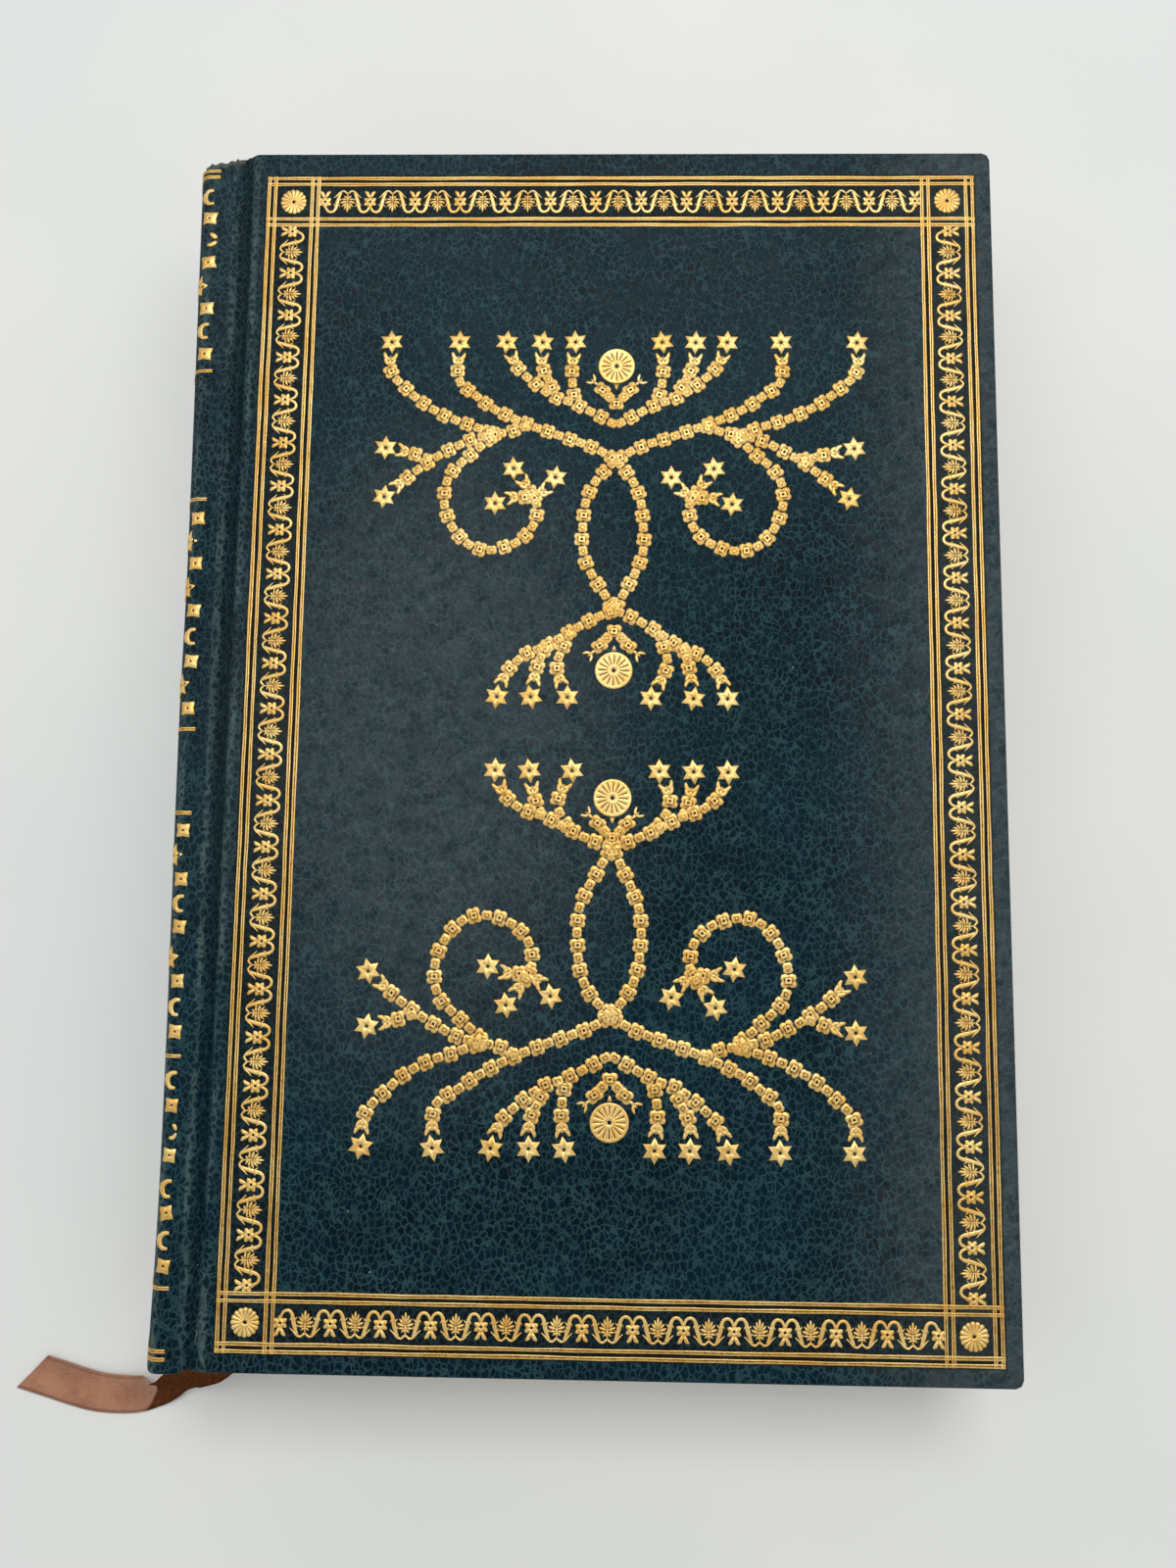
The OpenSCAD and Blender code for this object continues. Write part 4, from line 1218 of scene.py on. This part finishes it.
# Each tool's places along the spine, how far in from where the ridge begins to turn down,
# and how far the binder's hand turned and shifted it.
spine_work = (
    (square, square_places, -0.1, 0.14, 0.05),
    (star, star_places, -2.0, 0.3, 0.05),
    (drops, drop_places, 0.35, 0, 0),
    (curl, leaf_places, -0.35, 0.1, 0.05),
)
for tool, places, inward, turn, slip in spine_work:
    at = np.stack([np.full(len(places), shoulder + inward), places], -1)
    turns = draw.uniform(-turn, turn, len(places)) if turn else 0.0
    spine_gold.append(stamp(tool, at, turns, slip=slip))
spine_gold = gild("gold_spine", join(*spine_gold), on_spine,
                  ["spine_gilding", "front_joint_gilding", "back_joint_gilding"])
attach(spine_gold, "book_block")
print("spine gold:", len(line_places), "lines,", sum(len(row[1]) for row in spine_work), "tools")

# %% [markdown]
# ## Pages, papers, boards and bands
#
# The pages are two bundles with the ribbon between them, rounded at the back and hollow at
# the fore-edge; their leaves show as fine lines, and the sections end a little unevenly.
# Free and pasted endpapers, boards, the cloth on the back, the card in the spine and the two
# sewn bands complete the inside.

# %% Paper, card, cloth and thread


def paper_finish(name, light, dark, leaves=False):
    """Old paper, browned in clouds, with a few rusty spots; leaves adds the lines of its edge."""
    material, shader = finish(name, Roughness=0.85, Specular_IOR_Level=0.1)
    place = place_of(shader)
    colour = mix(level(noise(place, 25, 5, 0.6), 0.25, 0.8), paint(light), paint(dark))
    colour = mix(level(noise(place, 240, 3, 0.6), 0.70, 0.78, 0.0, 0.5), colour, paint("a9793f"))
    lines, strength = ((24, 24, 5200), 0.55) if leaves else ((1500, 1500, 60), 0.12)
    grain = noise(stretched(place, *lines), 1.0, 3, 0.75)
    colour = mix(level(grain, 0.56, 0.36, 0.0, strength), colour, paint("8a7148"))
    feed(shader, Base_Color=colour, Normal=bump(grain, 0.00005, 0.5))
    return material


def fibre_finish(name, light, dark, thread=0):
    """Card or cloth: fibres, and the mesh of the cloth when thread is its pitch in mm."""
    material, shader = finish(name, Roughness=0.9, Specular_IOR_Level=0.1)
    place = place_of(shader)
    grain = noise(place, 900, 4, 0.7)
    if thread:
        waves = 2 * math.pi / (thread * MM)
        mesh = [maths("SINE", times(axis, waves)) for axis in axes_of(place)[1:]]
        grain = plus(times(times(*mesh), 0.35), grain)
    feed(shader, Base_Color=mix(level(grain, 0.3, 0.75), paint(light), paint(dark)),
         Normal=bump(grain, 0.00006, 0.5))
    return material


def thread_finish():
    """Silk of two colours, chosen by the attribute thread, under the grime of long use."""
    material, shader = finish("band_silk", Roughness=0.6, Sheen_Weight=0.1)
    soil = level(noise(place_of(shader), 500, 3, 0.6), 0.3, 0.8, 0.5, 0.95)
    colour = mix(stored(shader, "thread"), paint("5c3329"), paint("877c62"))
    feed(shader, Base_Color=mix(soil, colour, paint("2b2c24")))
    return material


page_edges = paper_finish("page_edges", "dccdae", "c8b48d", leaves=True)
endpaper = paper_finish("endpaper", "e2d8c0", "dbcfb2")
card = fibre_finish("board_card", "9a8d76", "7b6e5a")
cloth = fibre_finish("lining_cloth", "c3b493", "9d8c6a", 0.9)
band_silk = thread_finish()

# %% A closed block from its outside points


def slab(u, v, layers, place):
    """The outside of a block: place(u, v, t) gives its points, with t from 0 on the flat
    underside to 1 on the top; the walls between have one ring of points per layer."""
    across, along = np.meshgrid(u, v, indexing="ij")
    across, along = across.ravel(), along.ravel()
    index = np.arange(len(across)).reshape(len(u), len(v))
    loop = np.concatenate([index[:, 0], index[-1, 1:], index[-2::-1, -1], index[0, -2:0:-1]])
    steps = np.linspace(0, 1, layers + 1)
    rings = [place(across[loop], along[loop], np.full(len(loop), t)) for t in steps[1:-1]]
    n, m = len(across), len(loop)
    under, over = (place(across, along, np.full(n, t)) for t in (0.0, 1.0))
    lid = n + len(rings) * m
    ids = np.vstack([loop, n + np.arange(len(rings) * m).reshape(len(rings), m), lid + loop])
    walls = quads_of(np.hstack([ids, ids[:, :1]]))[:, [0, 3, 2, 1]]
    flat = quads_of(index)
    return np.vstack([under, *rings, over]), [flat[:, ::-1], flat + lid, walls]


def lay(name, block, material, body, nodes, slot, back=False, smooth=False):
    """Makes a piece of a block given from the hinge line, or its mirror image at the back."""
    points, faces = block
    points = points + [hinge, 0, 0]
    if back:
        points = points * [1, 1, -1] + [0, 0, top]
        faces = [f[:, ::-1] for f in faces]
    piece = new_piece(name, points, faces, material, smooth)
    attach(piece, body)
    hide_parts(*nodes)
    return piece


# %% The pages
back_r = spine_x - (pages_low[0] - hinge)
pages_x, pages_y = pages_high[0] - hinge, pages_high[1]
hollow, leaf_step = 3.6, 0.55
fore_r = ((middle - 3.5) ** 2 + hollow ** 2) / (2 * hollow)
ribbon_z, ribbon_x = 18.8, 3.0


def page_bundle(low, high, parted_top, seed):
    """Leaves from height low to high; the face next to the ribbon is hollowed round it."""
    layers = int((high - low) / leaf_step)
    uneven = -np.abs(np.random.default_rng(seed).normal(0, 0.07, (3, layers + 1)))

    def place(u, v, t):
        z = low + (high - low) * t
        away = np.sqrt(back_r ** 2 - (z - middle) ** 2)
        fore_edge = pages_x + fore_r - hollow - np.sqrt(fore_r ** 2 - (z - middle) ** 2)
        step = np.arange(layers + 1) / layers
        wide = fore_edge - spine_x + away
        x = spine_x - away + wide * u + (u == 1) * np.interp(t, step, uneven[0])
        y = pages_y * (2 * v - 1)
        parted = 0.02 + 0.43 * ease((5.2 - np.abs(x - ribbon_x)) / 1.4) * ease((95.5 - y) / 3)
        y = y + (v == 1) * np.interp(t, step, uneven[1]) - (v == 0) * np.interp(t, step, uneven[2])
        near = t if parted_top else 1 - t
        return np.stack([x, y, z - (1 if parted_top else -1) * parted * near ** 3], -1)

    u = np.concatenate([np.linspace(0, 0.14, 24), np.linspace(0.17, 1, 20)])
    v = np.concatenate([np.linspace(0, 0.965, 30), [0.975, 0.985, 0.992, 1]])
    return slab(u, v, layers, place)


for name, low, high, parted_top, seed in (("pages_lower", pages_low[2], ribbon_z, True, 3),
                                          ("pages_upper", ribbon_z, pages_high[2], False, 4)):
    bundle = page_bundle(low, high, parted_top, seed)
    lay(name, bundle, page_edges, "book_block", ["text_block"], "pages")

# %% Endpapers and boards
grid_u, grid_v = np.linspace(0, 1, 25), np.linspace(0, 1, 37)


def leaf_place(u, v, t):
    """A free leaf: flat by the joint, a slow wave of up to 0.08 mm towards the fore-edge."""
    x, y = -5 + (pages_x - 5 + 4.9) * u, (pages_y - 0.05) * (2 * v - 1)
    wave = 0.04 * u * (1 + np.sin(x / 19 + y / 31))
    return np.stack([x, y, pages_high[2] + 0.01 + 0.13 * t + wave], -1)


def box_place(low, high):
    """Straight from one corner to the other."""
    low, high = np.array(low), np.array(high)
    return lambda u, v, t: low + (high - low) * np.stack([u, v, t], -1)


inner = top - cover_t
paste = box_place([groove_half + 0.05, 3.5 - half_height, inner - 0.13],
                  [fore - 3.5, half_height - 3.5, inner + 0.01])
board = box_place([groove_half + 0.1, 0.9 - half_height, inner + 0.55],
                  [fore - 0.9, half_height - 0.9, top - 0.62])
few = np.linspace(0, 1, 9)
for side, back in (("front", False), ("back", True)):
    body, leaf = side + "_cover", slab(grid_u, grid_v, 1, leaf_place)
    lay(side + "_leaf", leaf, endpaper, "book_block", [side + "_flyleaf"], "endpaper", back)
    lay(side + "_paste", slab(few, few, 1, paste), endpaper, body, [side + "_pastedown"],
        "endpaper", back)
    lay(side + "_card", slab(few, few, 2, board), card, body, [side + "_board"], "board", back)

# %% Cloth on the back, card in the spine, sewn bands


def shell_place(r_low, r_high, turn, y_low, y_high, sways):
    """Part of a tube about the spine's centre, turn degrees up and down from its middle."""
    def place(u, v, t):
        angle, r = np.radians(turn) * (2 * u - 1), r_low + (r_high - r_low) * t
        y = y_low + (y_high - y_low) * v
        x = spine_x - r * np.cos(angle) + (spine_sway(0 * y - 8, y) if sways else 0)
        return np.stack([x, y, middle + r * np.sin(angle)], -1)
    return place


arc = np.linspace(0, 1, 21)
lining = shell_place(37.42, 37.9, 20.9, -pages_y, pages_y, False)
inlay = shell_place(38.72, 39.25, 18.7, 1.5 - half_height, half_height - 4.2, True)
lay("back_cloth", slab(arc, grid_v, 1, lining), cloth, "book_block", ["spine_lining"], "lining",
    smooth=True)
lay("spine_card", slab(arc, grid_v, 1, inlay), card, "book_block", ["spine_inlay"], "board",
    smooth=True)


def sewn_band():
    """A cord round the end of the pages, wound with threads 0.42 mm wide."""
    steps, sides, bend_r, cord_r, thread_w = 225, 12, 36.2, 0.85, 0.42
    turn = np.radians(np.linspace(-18.6, 18.6, steps))[:, None]
    run, around_it = bend_r * turn, np.arange(sides)[None, :] * np.pi / 6
    r = cord_r * (0.92 + 0.08 * np.abs(np.sin(np.pi * run / thread_w)) ** 0.6)
    r = r * np.clip(1.02 - np.abs(turn / turn[-1]) ** 40 * 0.25, 0, 1)
    reach = bend_r + r * np.cos(around_it)
    points = np.stack([spine_x - reach * np.cos(turn), pages_y + 0.88 + r * np.sin(around_it),
                       middle + reach * np.sin(turn)], -1).reshape(-1, 3)
    cap = np.arange(sides)[None, :]
    faces = [grid_faces(steps, sides, wrap=True), cap, cap[:, ::-1] + sides * (steps - 1)]
    return points, faces, np.repeat(np.floor((run[:, 0] + 50) / (2 * thread_w)) % 2, sides)


for node, end in (("head_band", 1), ("tail_band", -1)):
    points, faces, which = sewn_band()
    block = (points * [1, end, 1], faces if end > 0 else [f[:, ::-1] for f in faces])
    band = lay("sewn_" + node, block, band_silk, "book_block", [node], "silk", smooth=True)
    point_values(band, "thread", which)
